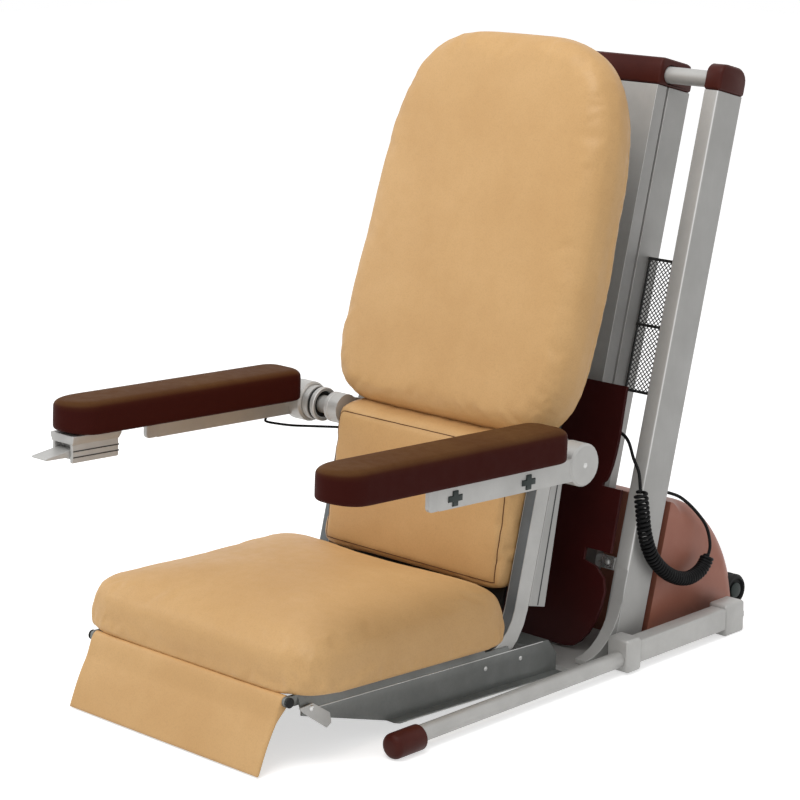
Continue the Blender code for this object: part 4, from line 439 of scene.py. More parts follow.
def evenly(line, count):
    # the same line with evenly spaced points
    reach = np.concatenate([[0.0], np.cumsum(np.linalg.norm(np.diff(line, axis=0), axis=1))])
    wanted = np.linspace(0.0, reach[-1], count)
    return np.stack([np.interp(wanted, reach, line[:, axis]) for axis in range(3)], -1)


def lineLength(line):
    # the sum of its steps
    return float(np.linalg.norm(np.diff(line, axis=0), axis=1).sum())


def tubeMesh(name, line, radius, resolution, closed=False):
    # a round tube along the line, with filled ends
    curve = bpy.data.curves.new(name, "CURVE")
    curve.dimensions = "3D"
    curve.bevel_depth = radius
    curve.bevel_resolution = resolution
    curve.use_fill_caps = True
    curve.twist_mode = "MINIMUM"
    spline = curve.splines.new("POLY")
    spline.points.add(len(line) - 1)
    spline.points.foreach_set("co", np.column_stack([line, np.ones(len(line))]).ravel())
    spline.use_cyclic_u = closed
    holder = bpy.data.objects.new(name + "Line", curve)
    scene.collection.objects.link(holder)
    mesh = evaluatedMesh(holder)
    bpy.data.objects.remove(holder)
    bpy.data.curves.remove(curve)
    mesh.name = name
    return mesh


curlyCord = {
    "radius": 0.0026, "curl": 0.0090, "turns": 44, "perTurn": 16, "spread": 1.18, "ramp": 0.9, "apart": 0.0004,
    "samples": 1601, "step": 10, "leave": 4,                             # along the route, and for the plain wire
    "carriageEnd": [(0.1526, 0.010, 0.352), (0.1606, 0.010, 0.352)],     # mast frame: x, depth, rise
    "passing": [(0.185, 0.002, 0.350), (0.208, -0.008, 0.340), (0.232, -0.020, 0.318), (0.251, -0.026, 0.300)],
    "curlStart": (0.259, 0.6790, 0.272),                                 # from here on chair places
    "hang": [
        (0.262, 0.6810, 0.240), (0.262, 0.6890, 0.199), (0.262, 0.7080, 0.160), (0.262, 0.7450, 0.126),
        (0.262, 0.7910, 0.107), (0.262, 0.8280, 0.112),
    ],
    "curlEnd": (0.262, 0.8480, 0.133),
    "back": [(0.261, 0.8530, 0.152), (0.2555, 0.8480, 0.180), (0.2475, 0.8280, 0.208), (0.239, 0.8040, 0.2305)],
    "columnEnd": [(0.232, 0.0826, 0.272), (0.232, 0.0746, 0.272)],       # mast frame again
    "opening": [(0.259, 0.7792, 0.2444), (0.259, 0.7185, 0.3161)],       # two points on the hang, in chair places
}


def makeCurlyCord():
    # a helix round the middle of the route, with plain wire before and after it
    form = curlyCord
    leaned = [placed("mast", *point) for point in form["carriageEnd"] + form["passing"]]
    free = [form["curlStart"]] + form["hang"] + [form["curlEnd"]] + form["back"]
    hung = [placed("floor", *point) for point in free]
    route = leaned + hung + [placed("mast", *point) for point in form["columnEnd"]]
    line = smoothLine(route, form["samples"])
    ends = (placed("floor", *form[key]) for key in ("curlStart", "curlEnd"))
    first, last = (int(np.argmin(np.linalg.norm(line - end, axis=1))) for end in ends)
    # the pitch shrinks evenly from the top of the hang to the loop: spread times the mean pitch down to 2 - spread
    share = np.linspace(0.0, 1.0, form["turns"] * form["perTurn"] + 1)
    along = form["spread"] * share + (1.0 - form["spread"]) * share ** 2
    index = first + (last - first) * along
    low = np.clip(index.astype(int), 1, len(line) - 3)
    core = line[low] + (line[low + 1] - line[low]) * (index - low)[:, None]
    forward = unit(line[low + 2] - line[low - 1])
    side = unit(np.array([1.0, 0.0, 0.0]) - forward * forward[:, :1])
    across = np.cross(forward, side)
    turn = 2.0 * math.pi * form["turns"] * share
    ramp = np.minimum(1.0, np.minimum(share, 1.0 - share) * form["turns"] * form["ramp"])
    reach = form["curl"] * np.sin(ramp * math.pi / 2)
    curls = core + (side * np.cos(turn)[:, None] + across * np.sin(turn)[:, None]) * reach[:, None]
    step = form["step"]
    lead = line[:first - form["leave"]:step]
    tail = line[last + step::step]
    wire = np.vstack([lead, curls, tail, line[-1:]])
    wire = wire[np.insert(np.linalg.norm(np.diff(wire, axis=0), axis=1) > form["apart"], 0, True)]    # no point twice
    made = piece("curlyCord", tubeMesh("curlyCord", wire, form["radius"], 2), "cord", None, 60.0)
    stays, climbs = (placed("floor", *point) for point in form["opening"])
    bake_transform(made)
    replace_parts(made, "curly_cord")
    print("curly cord: wire %.3f m, %d points" % (lineLength(wire), len(wire)))


armCable = {
    "radius": 0.002, "ahead": 0.06, "straight": 0.006,
    "armEnd": [(-0.293, -0.075, -0.0213), (-0.293, -0.075, -0.0273)],    # arm frame: x, along, up
    "hang": [(0.22, 0.014), (0.45, 0.018), (0.70, 0.019)],               # share of the run, drop below the arm end
    "frameEnd": (-0.2093, 0.088, 0.018),                                 # x, run and drop from the arm end
}


def makeArmCable():
    # hangs from the arm bar to the side frame, its way across growing as the square of its run
    form = armCable
    start, down = (placed("arm", *point) for point in form["armEnd"])
    x, run, drop = form["frameEnd"]
    end = np.array([x, start[1] + run, start[2] - drop])
    route = [start, down]
    for share, sink in form["hang"]:
        x = start[0] + (end[0] - start[0]) * share * share
        route.append((x, start[1] + run * (share + form["ahead"]), start[2] - sink))
    route += [end + np.array([-form["straight"], 0.0, 0.0]), end]
    line = smoothLine(route, 81)
    made = piece("armCable", tubeMesh("armCable", line, form["radius"], 3), "cord", None, 60.0)
    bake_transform(made)
    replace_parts(made, "arm_cable")
    print("arm cable: %.3f m" % lineLength(line))


makeCurlyCord()
makeArmCable()


# rigid solids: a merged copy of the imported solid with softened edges
def camel(words):
    # words_with_bars to wordsWithBars
    first, *rest = words.split("_")
    return first + "".join(word.capitalize() for word in rest)


def dressed(node, finish, edge=0.0008, sharp=32.0, segments=2, merge=True):
    source = nodes[node]
    work = bmesh.new()
    work.from_mesh(source.data)
    bmesh.ops.remove_doubles(work, verts=work.verts, dist=0.00002)
    if merge:
        bmesh.ops.dissolve_limit(work, angle_limit=math.radians(0.5), verts=work.verts, edges=work.edges)
    work.verts.ensure_lookup_table()
    work.verts.index_update()
    points = [vert.co[:] for vert in work.verts]
    faces = [[vert.index for vert in face.verts] for face in work.faces]
    work.free()
    mesh = bpy.data.meshes.new(camel(node))
    mesh.from_pydata(points, [], faces)
    made = piece(camel(node), mesh, finish, source["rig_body"], sharp)
    if edge:
        rounded(made, edge, segments, sharp)
    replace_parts(made, node)
    return made


sides = (("left", 1.0), ("right", -1.0))
plainDress = {
    "base_plate": ("silver", 0.0010), "mast": ("aluminium", 0.0012), "mast_cap": ("cap", 0.0030),
    "gear_motor": ("panGrey", 0.0010), "screw_bearing": ("steel", 0.0006), "lead_screw": ("steel", 0.0005),
    "drive_nut": ("steel", 0.0006), "wheel_axle": ("steel", 0.0006), "carriage_plate": ("panGrey", 0.0010),
    "carriage_shield": ("shield", 0.0010), "lumbar_plate": ("panGrey", 0.0008), "back_board": ("panGrey", 0.0010),
    "seat_pan": ("panGrey", 0.0008), "flap_rod": ("steel", 0.0005), "switch_box": ("silver", 0.0020),
    "switch_paddle": ("silver", 0.0008), "carriage_gland": ("cord", 0.0005), "column_gland": ("cord", 0.0005),
}
pairDress = {
    "rail_socket": ("silver", 0.0025), "rear_bar": ("silver", 0.0020), "rear_cap": ("silver", 0.0025),
    "column": ("aluminium", 0.0022), "column_cap": ("cap", 0.0030), "column_gusset": ("aluminium", 0.0015),
    "glide_strip": ("glide", 0.0004), "carriage_arm": ("panGrey", 0.0008), "side_frame": ("silver", 0.0015),
    "back_post": ("aluminium", 0.0008), "arm_bar": ("silver", 0.0012),
}
for node, (finish, edge) in plainDress.items():
    dressed(node, finish, edge)
for node, (finish, edge) in pairDress.items():
    for side, sign in sides:
        # a bar's flange leaves a hole in its inner face, so that face isn't merged
        dressed(node + "_" + side, finish, edge, merge=node != "arm_bar")

mastCap = {"lift": 0.006, "rim": 0.004}


def raiseCap():
    # the corners of the mast cap's top go up along the lean
    mesh = bpy.data.objects["mastCap"].data
    points = placesOf(mesh)
    upward = placed("mast", 0.0, 0.0, 1.0) - placed("mast", 0.0, 0.0, 0.0)
    rise = points @ upward
    points += np.outer(mastCap["lift"] * (rise > rise.max() - mastCap["rim"]), upward)
    mesh.vertices.foreach_set("co", points.ravel())
    mesh.update()


raiseCap()
print("rigid solids dressed")


# turned pieces: rails, caps, top bar, hinges and wheels
rails = {
    "x": 0.280, "tube": 0.0125, "tubeZ": 0.0245, "front": 0.114, "cap": 0.058, "capRadius": 0.0188, "capZ": 0.0208,
    "end": 0.6077, "lap": 0.002, "soft": 0.0008, "noseSoft": 0.0095, "capSoft": 0.0020,
}
hinge = {
    "y": 0.500, "z": 0.352, "flange": 0.2093, "neck": 0.2173, "barrel": 0.2373, "end": 0.2633, "wide": 0.024,
    "soft": 0.0012, "neckOutline": [(0.0148, 0.0004), (0.014, 0.0016)],    # radius, and how far past the neck
    "barrelOutline": [
        (0.014, 0.006), (0.0205, 0.006), (0.0212, 0.0012), (0.0222, 0.0), (0.0258, 0.0), (0.027, 0.0012),
        (0.027, 0.0075), (0.0252, 0.0083), (0.0252, 0.0135), (0.027, 0.0143),
    ],
    "endOutline": [(0.027, -0.0012), (0.0258, 0.0), (0.0, 0.0)],
    "hingeBand": (0.0250, 0.0262, 0.0088, 0.0130), "hingeBore": (0.0144, 0.0202, 0.0050, 0.0058),
}
wheels = {
    "x": 0.2185, "y": 0.9655, "z": 0.0405, "radius": 0.026, "half": 0.013, "hub": (0.0125, 0.0034), "hubSink": 0.0012,
    "flank": [(0.0056, 0.002), (0.0105, 0.002), (0.0115, 0.0045), (0.0185, 0.0045), (0.020, 0.0)],    # radius, sunk by
    "shoulder": (0.003, 0.004), "groove": (0.0012, 0.0025, 0.0015),    # down and in; depth, half width at mouth and floor
}
topBar = {"radius": 0.013, "soft": 0.0008}


def softRing(radius, low, high, soft):
    # a cylinder's outline with its two corners rounded off
    turn = quarterTurn(6)
    lower = np.stack([radius - soft + soft * np.sin(turn), low + soft - soft * np.cos(turn)], -1)
    upper = np.stack([radius - soft + soft * np.cos(turn), high - soft + soft * np.sin(turn)], -1)
    return np.vstack([lower, upper]).tolist()


def domed(radius, rise, sink=0.0008):
    # a low dome's outline, from its rim below the face to its crown
    turn = quarterTurn(8)
    return [(0.0, -sink), (radius, -sink), *np.stack([radius * np.cos(turn), rise * np.sin(turn)], -1).tolist()]


def boss(name, size, count, place, sign, finish, body):
    # a low dome, given by radius and rise, that looks outwards
    spun(name, mirrored(domed(*size), sign), count, "x", place, finish, body)


def makeTurned():
    # outlines of radius and height, turned round X or Y
    for side, sign in sides:
        word = side.capitalize()
        first, last = rails["front"] + rails["cap"] - rails["lap"], rails["end"]
        tube = [(0.0, first), *softRing(rails["tube"], first, last, rails["soft"]), (0.0, last)]
        place = placed("floor", sign * rails["x"], 0.0, rails["tubeZ"])
        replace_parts(spun("railTube" + word, tube, 48, "y", place, "silver", "base"), "rail_tube_" + side)
        first, last = rails["front"], rails["front"] + rails["cap"]
        nose, rear = (softRing(rails["capRadius"], first, last, rails[key]) for key in ("noseSoft", "capSoft"))
        cap = [(0.0, first), *nose[:6], *rear[6:], (0.0, last)]
        place = placed("floor", sign * rails["x"], 0.0, rails["capZ"])
        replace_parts(spun("railCap" + word, cap, 48, "y", place, "cap", "base"), "rail_cap_" + side)

        body = [(0.0, hinge["flange"]), *softRing(hinge["wide"], hinge["flange"], hinge["neck"], hinge["soft"])]
        for start in ("neck", "barrel", "end"):
            body += [(radius, hinge[start] + out) for radius, out in hinge[start + "Outline"]]
        place = placed("floor", 0.0, hinge["y"], hinge["z"])
        made = spun("armHinge" + word, mirrored(body, sign), 48, "x", place, "aluminium", "carriage")
        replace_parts(made, "arm_hinge_" + side)
        for name in ("hingeBand", "hingeBore"):
            inner, outer, low, high = hinge[name]
            low, high = hinge["barrel"] + low, hinge["barrel"] + high
            ring = mirrored([(inner, low), (outer, low), (outer, high), (inner, high)], sign)
            spun(name + word, ring, 48, "x", place, "rubber", "carriage", closed=True)

        half, radius = wheels["half"], wheels["radius"]
        (down, along), (deep, wide, narrow) = wheels["shoulder"], wheels["groove"]
        flank = [(out, sunk - half) for out, sunk in wheels["flank"]]
        flank += [(radius - down, -half), (radius, along - half), (radius, -wide), (radius - deep, -narrow)]
        tread = np.vstack([flank, mirrored(flank, -1.0)[::-1]])
        place = placed("floor", sign * wheels["x"], wheels["y"], wheels["z"])
        made = spun("wheel" + word, tread, 56, "x", place, "rubber", "wheel_" + side, 30.0, True)
        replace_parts(made, "wheel_" + side)
        place = place + np.array([sign * (half - wheels["hubSink"]), 0.0, 0.0])
        boss("wheelHub" + word, wheels["hub"], 32, place, sign, "knob", "wheel_" + side)
    low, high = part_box("top_bar")
    middle = (np.asarray(low) + np.asarray(high)) / 2
    reach = high[0] - middle[0]
    bar = [(0.0, -reach), *softRing(topBar["radius"], -reach, reach, topBar["soft"]), (0.0, reach)]
    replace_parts(spun("topBar", bar, 48, "x", middle, "aluminium", "base"), "top_bar")


makeTurned()
print("turned pieces made")


# motor cover: the side outline carried across, drawn in with a wide round towards each flat side
motorCover = {
    "half": 0.240, "top": 0.228, "rear": 0.961, "low": 0.014, "curve": 1.85, "front": 0.0833, "wall": 0.003,
    "round": 0.030, "pocket": (0.1965, 0.2367, 0.0695, 0.9370),    # room for a wheel: from x, to x, up to, back from
    "step": 0.0004,
}


def makeCover():
    # a straight front along the mast, then a squared quarter oval down to the foot, drawn in by the side rounds
    form = motorCover
    lean = chair["mast"][0]
    low, top, radius, step = (form[key] for key in ("low", "top", "round", "step"))
    start = chair["mast"][1] + form["front"] / math.cos(lean)
    frontTop = start + top * math.tan(lean)
    turn = quarterTurn(49)
    back = np.stack([
        frontTop + (form["rear"] - frontTop) * np.sin(turn) ** (2 / form["curve"]),
        low + (top - low) * np.clip(np.cos(turn), 0.0, 1.0) ** (2 / form["curve"]),
    ], -1)
    rise = np.linspace(low, top, 9)[:-1]
    front = np.stack([start + rise * math.tan(lean), rise], -1)
    line = np.vstack([front, back])
    heading = unit(np.gradient(line, axis=0))
    inward = np.stack([heading[:, 1], -heading[:, 0]], -1)
    inward[: len(front)] = 0.0
    inward[len(front):] *= smoothStep(np.arange(len(back)), 0.0, 8.0)[:, None]
    inward[-1] = (-1.0, 0.0)
    bend = quarterTurn(11)
    flat = form["half"] - radius
    near, far, roof, deep = form["pocket"]
    walls = [near - step, near, far, far + step]
    reach = np.concatenate([flat + radius * np.sin(bend), np.linspace(0.0, flat, 7)[1:-1], walls])
    across = np.unique(np.concatenate([reach, [0.0], -reach]))[::-1]
    wide = np.abs(across)
    draw = radius - np.sqrt(np.maximum(radius ** 2 - np.maximum(wide - flat, 0.0) ** 2, 0.0))
    section = line[None] + inward[None] * draw[:, None, None]
    section[:, :, 1] = np.maximum(section[:, :, 1], low)
    wheelRoom = ((wide > near - step / 2) & (wide < far + step / 2))[:, None] & (section[:, :, 1] < roof)
    section[:, :, 0] = np.where(wheelRoom, np.minimum(section[:, :, 0], deep), section[:, :, 0])
    grid = placed("floor", across[:, None], section[:, :, 0], section[:, :, 1])
    made = piece("motorCover", meshOf("motorCover", grid, cappedFaces(*grid.shape[:2])), "cover", "base", 40.0)
    wall = made.modifiers.new("wall", "SOLIDIFY")
    wall.thickness = form["wall"]
    wall.offset = -1.0
    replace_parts(made, "motor_cover")


makeCover()
print("motor cover shaped")


# mesh screens: crossed wires between three bars
screens = {
    "inner": 0.1303, "outer": 0.2177, "low": 0.414, "high": 0.626, "bar": 0.0045, "depth": 0.0588, "pitch": 0.0076,
    "wire": 0.00058, "margin": 0.002, "tuck": 0.0012, "gap": 0.0004, "upright": 0.0022, "barHalf": 0.003,
    "uprightHalf": 0.0016, "apart": 0.8,
}


def slantWires(width, height, pitch):
    # slanting lines through a field, cut off at its edges: x + y = c for one set, mirrored for the other
    level = np.arange(pitch / 2, width + height, pitch)
    first = np.stack([np.maximum(0.0, level - height), np.minimum(level, height)], -1)
    last = np.stack([np.minimum(level, width), np.maximum(0.0, level - width)], -1)
    flip = np.array([-1.0, 1.0])
    shift = np.array([width, 0.0])
    return np.vstack([first, first * flip + shift]), np.vstack([last, last * flip + shift])


def makeScreens():
    # each wire is a thin box, and the two directions lie one behind the other
    form = screens
    bar, thin, low, high = (form[key] for key in ("bar", "wire", "low", "high"))
    width = form["outer"] - form["inner"] - 2 * form["margin"]
    height = (high - low - 3 * bar) / 2
    lines = slantWires(width, height, form["pitch"])
    corners = [np.array([form["inner"] + form["margin"], foot]) for foot in (low + bar, low + 2 * bar + height)]
    begin, finish = (np.concatenate([ends + corner for corner in corners]) for ends in lines)
    heading = unit(finish - begin)
    side = np.stack([-heading[:, 1], heading[:, 0]], -1) * thin
    begin, finish = begin - heading * form["tuck"], finish + heading * form["tuck"]
    flat = np.stack([begin - side, begin + side, finish - side, finish + side], 1)[:, :, None]
    level = np.where(heading[:, 1] * heading[:, 0] > 0, thin, -thin)[:, None, None] * form["apart"]
    deep = form["depth"] + level + np.array([-thin, thin])
    left, right = form["inner"] + form["gap"], form["outer"] - form["gap"]
    feet = (low, low + bar + height, low + 2 * (bar + height))
    edges = [((left, right), (foot, foot + bar), form["barHalf"]) for foot in feet]
    for x in (left, right - form["upright"]):
        edges.append(((x, x + form["upright"]), (low, high), form["uprightHalf"]))
    for sideName, sign in sides:
        blocks = [placed("mast", sign * flat[..., 0], deep, flat[..., 1]).reshape(-1, 3)]
        for across, up, thick in edges:
            x, rise, out = boxCorners(across, up, (-thick, thick)).T
            blocks.append(placed("mast", sign * x, form["depth"] + out, rise))
        points = np.vstack(blocks)
        mesh = meshOf("meshScreen", points, boxFaces(len(points) // 8))
        made = piece("meshScreen" + sideName.capitalize(), mesh, "mesh", "base", 30.0)
        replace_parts(made, "mesh_screen_" + sideName)


makeScreens()
print("mesh screens woven")


# small fittings: cross knobs on the arm bars, a boss on each pivot disc, rivets in the pan
fittings = {
    "knobs": (-0.274, -0.1215), "knobX": 0.2968, "knobSize": (0.0138, 0.0108), "knobArm": (0.0052, 0.0042),
    "knobUp": -0.0070, "knobRings": ((-0.001, 1.0), (0.0016, 1.0), (0.0023, 0.88)),
    "plugX": (0.2892, 0.2968), "plugAlong": (-0.3260, -0.3075), "plugUp": (-0.0208, 0.0124), "plugCorner": 0.007,
    "plugEdge": 0.0010, "bossX": 0.2994, "boss": (0.0042, 0.0012), "rivets": ((0.383, 0.051), (0.460, 0.048)),
    "rivetX": 0.2139, "rivet": (0.0036, 0.0018),
}


def makeFittings():
    # rings of a plus, a plug with a rounded foot, and low domes
    form = fittings
    (wide, tall), (armWide, armTall) = form["knobSize"], form["knobArm"]
    quarter = np.array([(wide, armTall), (armWide, armTall), (armWide, tall)])
    plus = np.vstack([quarter, quarter[::-1] * (-1, 1), quarter * (-1, -1), quarter[::-1] * (1, -1)])
    for side, sign in sides:
        word = side.capitalize()
        for number, along in enumerate(form["knobs"]):
            rings = []
            for out, scale in form["knobRings"]:
                x, (run, rise) = sign * (form["knobX"] + out), plus.T * scale
                rings.append(placed("arm", x, along + run, form["knobUp"] + rise))
            cappedPiece("armKnob%s%d" % (word, number + 1), np.stack(rings), "knob", "arm_" + side, 30.0)
        turn = quarterTurn(7)
        (front, rear), (low, high), corner = form["plugAlong"], form["plugUp"], form["plugCorner"]
        along = np.concatenate([[rear, front], front + corner * (1.0 - np.cos(turn)), [rear]])
        up = np.concatenate([[high, high], low + corner * (1.0 - np.sin(turn)), [low]])
        rings = np.stack([placed("arm", sign * x, along, up) for x in form["plugX"]])
        rounded(cappedPiece("barPlug" + word, rings, "silver", "arm_" + side, 25.0), form["plugEdge"])
        place = placed("arm", sign * form["bossX"], 0.0, 0.0)
        boss("discBoss" + word, form["boss"], 24, place, sign, "steel", "arm_" + side)
        for number, (y, z) in enumerate(form["rivets"]):
            place = placed("floor", sign * form["rivetX"], y, z)
            boss("panRivet%s%d" % (word, number + 1), form["rivet"], 20, place, sign, "steel", "carriage")


makeFittings()
print("small fittings placed")


# trims: a blue-grey painted reflection on the fronts of the side frames, post grooves in painted shade, painted
# highlights on the pan edges, lug plates, flap brackets, switch ridges
trims = {
    "frameX": (0.1904, 0.2077), "frameDepth": -0.205, "frameTop": 0.322, "frameBend": 0.0755, "runUp": -0.023,
    "grooveX": (0.2098, 0.2103), "grooveFoot": (-0.1560, 0.082), "grooveTop": (-0.1640, 0.330), "groove": 0.0024,
    "panBend": (0.2139, -0.0243, 0.030, 0.512), "panLip": (0.2297, -0.0768, 0.205, 0.541), "panLine": 0.0008,
    "lugX": (0.1860, 0.2120), "lugRise": (0.1435, 0.1615), "lugDepth": (0.0066, 0.0082), "lugBolt": (0.0048, 0.0030),
    "bracketX": (0.2143, 0.2165), "plateEdge": 0.0006,
    "bracket": ((0.004, 0.0900), (0.012, 0.0815), (0.056, 0.0490), (0.065, 0.0545), (0.062, 0.0700), (0.030, 0.0920)),
    "boltPlace": (0.2164, 0.0270, 0.0855), "flapBolt": (0.0044, 0.0024), "rodX": 0.2090, "rodEnd": (0.0074, 0.0030),
}


def frameFront():
    # the leg's front line, then an arc round the centre that lies on the bisector of leg and run
    form = trims
    foot = placed("mast", 0.0, form["frameDepth"], 0.0)[1:]
    up = placed("mast", 0.0, form["frameDepth"], 1.0)[1:] - foot
    run = placed("seat", 0.0, 0.0, form["runUp"])[1:]
    ahead = run - placed("seat", 0.0, 1.0, form["runUp"])[1:]
    reach = np.linalg.solve(np.stack([up, -ahead], 1), run - foot)
    corner = foot + up * reach[0]
    half = math.acos(float(up @ ahead)) / 2
    bisector = (up + ahead) / np.linalg.norm(up + ahead)
    centre = corner + bisector * form["frameBend"] / math.sin(half)
    start = form["frameBend"] / math.tan(half)
    leg = np.linspace(form["frameTop"], reach[0] + start, 24)[:, None] * up + foot
    first, last = leg[-1] - centre, corner + ahead * start - centre
    turn = np.linspace(0.0, math.pi - 2 * half, 20)[1:, None]
    arc = (first * np.sin(math.pi - 2 * half - turn) + last * np.sin(turn)) / math.sin(math.pi - 2 * half)
    front = placed("mast", 0.0, -1.0, 0.0)[1:] - placed("mast", 0.0, 0.0, 0.0)[1:]
    return np.vstack([leg, centre + arc]), np.vstack([np.broadcast_to(front, leg.shape), -arc / form["frameBend"]])


def makeTrims():
    # strips, tubes and plates along lines of the pieces they lie on
    form = trims
    line, normal = frameFront()
    foot, top = (placed("mast", 0.0, *form[key])[1:] for key in ("grooveFoot", "grooveTop"))
    groove = foot + np.linspace(0.0, 1.0, 12)[:, None] * (top - foot)
    across = np.array([(top - foot)[1], -(top - foot)[0]]) / np.linalg.norm(top - foot)
    across = np.broadcast_to(across, groove.shape)
    for side, sign in sides:
        word = side.capitalize()
        frameX, grooveX = (sorted(sign * x for x in form[key]) for key in ("frameX", "grooveX"))
        # a blue-grey strip on the side frame's front: a painted reflection that darkens it
        edgeStrip("frameTrim" + word, line, normal, frameX, "frameGrey", "carriage")
        half = form["groove"] / 2
        # a dark line on the post's side: painted shade for a groove
        edgeStrip("postGrooveShade" + word, groove, across, grooveX, "mesh", "carriage", half, half)
        # thin bright steel lines along the pan's bend and lip: a painted highlight on those edges
        for name, (x, up, front, rear) in (("panBendHighlight", form["panBend"]), ("panLipHighlight", form["panLip"])):
            edge = placed("seat", sign * x, np.linspace(front, rear, 30), up)
            piece(name + word, tubeMesh(name, edge, form["panLine"], 2), "steel", "carriage", 60.0)
        x, rise = sign * np.array(form["lugX"])[[0, 1, 1, 0]], np.array(form["lugRise"])[[0, 0, 1, 1]]
        rings = np.stack([placed("mast", x, depth, rise) for depth in form["lugDepth"]])
        rounded(cappedPiece("lugPlate" + word, rings, "steel", "base", 30.0), form["plateEdge"])
        place = placed("mast", sign * np.mean(form["lugX"]), form["lugDepth"][0], np.mean(form["lugRise"]))
        spun("lugBolt" + word, mirrored(domed(*form["lugBolt"]), -1.0), 20, "y", place, "aluminium", "base")
        y, z = np.array(form["bracket"]).T
        rings = np.stack([placed("floor", sign * x, y, z) for x in form["bracketX"]])
        rounded(cappedPiece("flapBracket" + word, rings, "silver", "carriage", 30.0), form["plateEdge"])
        x, y, z = form["boltPlace"]
        boss("flapBolt" + word, form["flapBolt"], 20, placed("floor", sign * x, y, z), sign, "steel", "carriage")
        place = placed("seat", sign * form["rodX"], *legFlap["rod"])
        boss("rodEnd" + word, form["rodEnd"], 28, place, sign, "rubber", "carriage")


# switch: a flared collar below the pad and two dark ridges round the housing
switch = {
    "x": -0.277, "half": 0.023, "front": -0.498, "rear": -0.410, "edge": 0.0012,
    "flare": ((0.0126, 0.0035), (0.0070, 0.0032), (-0.0010, 0.0004)), "frontShare": 0.3,    # up and out
    "ridges": (-0.0105, -0.0195), "ridge": 0.0017, "proud": 0.0005, "ridgeStart": 0.002,
}


def makeSwitch():
    # rings that flare upwards, and thin boxes round three walls
    form = switch
    rings = []
    for up, out in form["flare"]:
        half, front, rear = form["half"] + out, form["front"] - out * form["frontShare"], form["rear"] + out
        x = form["x"] + half * np.array([-1.0, 1.0, 1.0, -1.0])
        rings.append(placed("arm", x, np.array([front, front, rear, rear]), up))
    rounded(cappedPiece("switchCollar", np.stack(rings), "silver", "arm_right", 25.0), form["edge"])
    low, high = form["x"] - form["half"], form["x"] + form["half"]
    out = form["proud"]
    flank, rear = (form["front"] + form["ridgeStart"], form["rear"] + out), (form["rear"] - out, form["rear"] + out)
    walls = [((low - out, low + out), flank), ((high - out, high + out), flank), ((low + out, high - out), rear)]
    blocks = []
    for level in form["ridges"]:
        for across, along in walls:
            box = boxCorners(across, along, (level - form["ridge"] / 2, level + form["ridge"] / 2))
            blocks.append(placed("arm", *box.T))
    mesh = meshOf("switchRidges", np.vstack(blocks), boxFaces(len(blocks)))
    piece("switchRidges", mesh, "mesh", "arm_right", 30.0)


makeSwitch()


# cushions
def squaredOval(halfWidth, halfHeight, topPower, footPower, taper, count):
    # an oval squared off by its powers, which narrows upwards by the taper
    angle = 2.0 * math.pi * (np.arange(count) + 0.5) / count
    power = np.where(np.sin(angle) > 0.0, topPower, footPower)
    u = np.sign(np.cos(angle)) * np.abs(np.cos(angle)) ** (2.0 / power)
    v = np.sign(np.sin(angle)) * np.abs(np.sin(angle)) ** (2.0 / power)
    return u * halfWidth * (1.0 - taper * (v + 1.0) / 2.0), v * halfHeight


slab = {"foot": 7, "wall": 9, "crown": 25, "arch": 2.4}    # rows across the foot, the wall and the crown


def slabGrid(form):
    # an oval carried up a profile: flat below, a small lower round, a side that swells a little, a larger upper
    # round, and a crown that rises to the middle
    u, v = squaredOval(*form["half"], *form["powers"], form["taper"], form["count"])
    width, height = form["half"]
    low, high = form["lowEdge"], form["highEdge"]
    foot, wall, crown = slab["foot"], slab["wall"], slab["crown"]
    inward = np.linspace(1.0, 0.0, crown)
    quarter = quarterTurn(7)[1:-1]
    up = np.linspace(0.0, 1.0, wall)
    inset = np.concatenate([
        np.full(foot, low), low * (1.0 - np.sin(quarter)), -form["swell"] * np.sin(math.pi * up),
        high * (1.0 - np.cos(quarter)), np.full(crown, high),
    ])
    share = np.concatenate([
        np.linspace(0.0, 1.0, foot), np.ones(len(quarter) * 2 + wall), inward,
    ])
    level = np.concatenate([
        np.zeros(foot), low * (1.0 - np.cos(quarter)), low + (form["side"] - low - high) * up,
        form["side"] - high * (1.0 - np.sin(quarter)), np.full(crown, form["side"]),
    ])
    top = np.concatenate([np.zeros(len(share) - crown), form["crown"] * (1.0 - inward ** slab["arch"])])
    gridU = u[None, :] * ((width - inset) / width * share)[:, None]
    gridV = v[None, :] * ((height - inset) / height * share)[:, None]
    gridW = np.broadcast_to((level + top)[:, None], gridU.shape)
    return np.stack([gridU, gridV, gridW], -1)


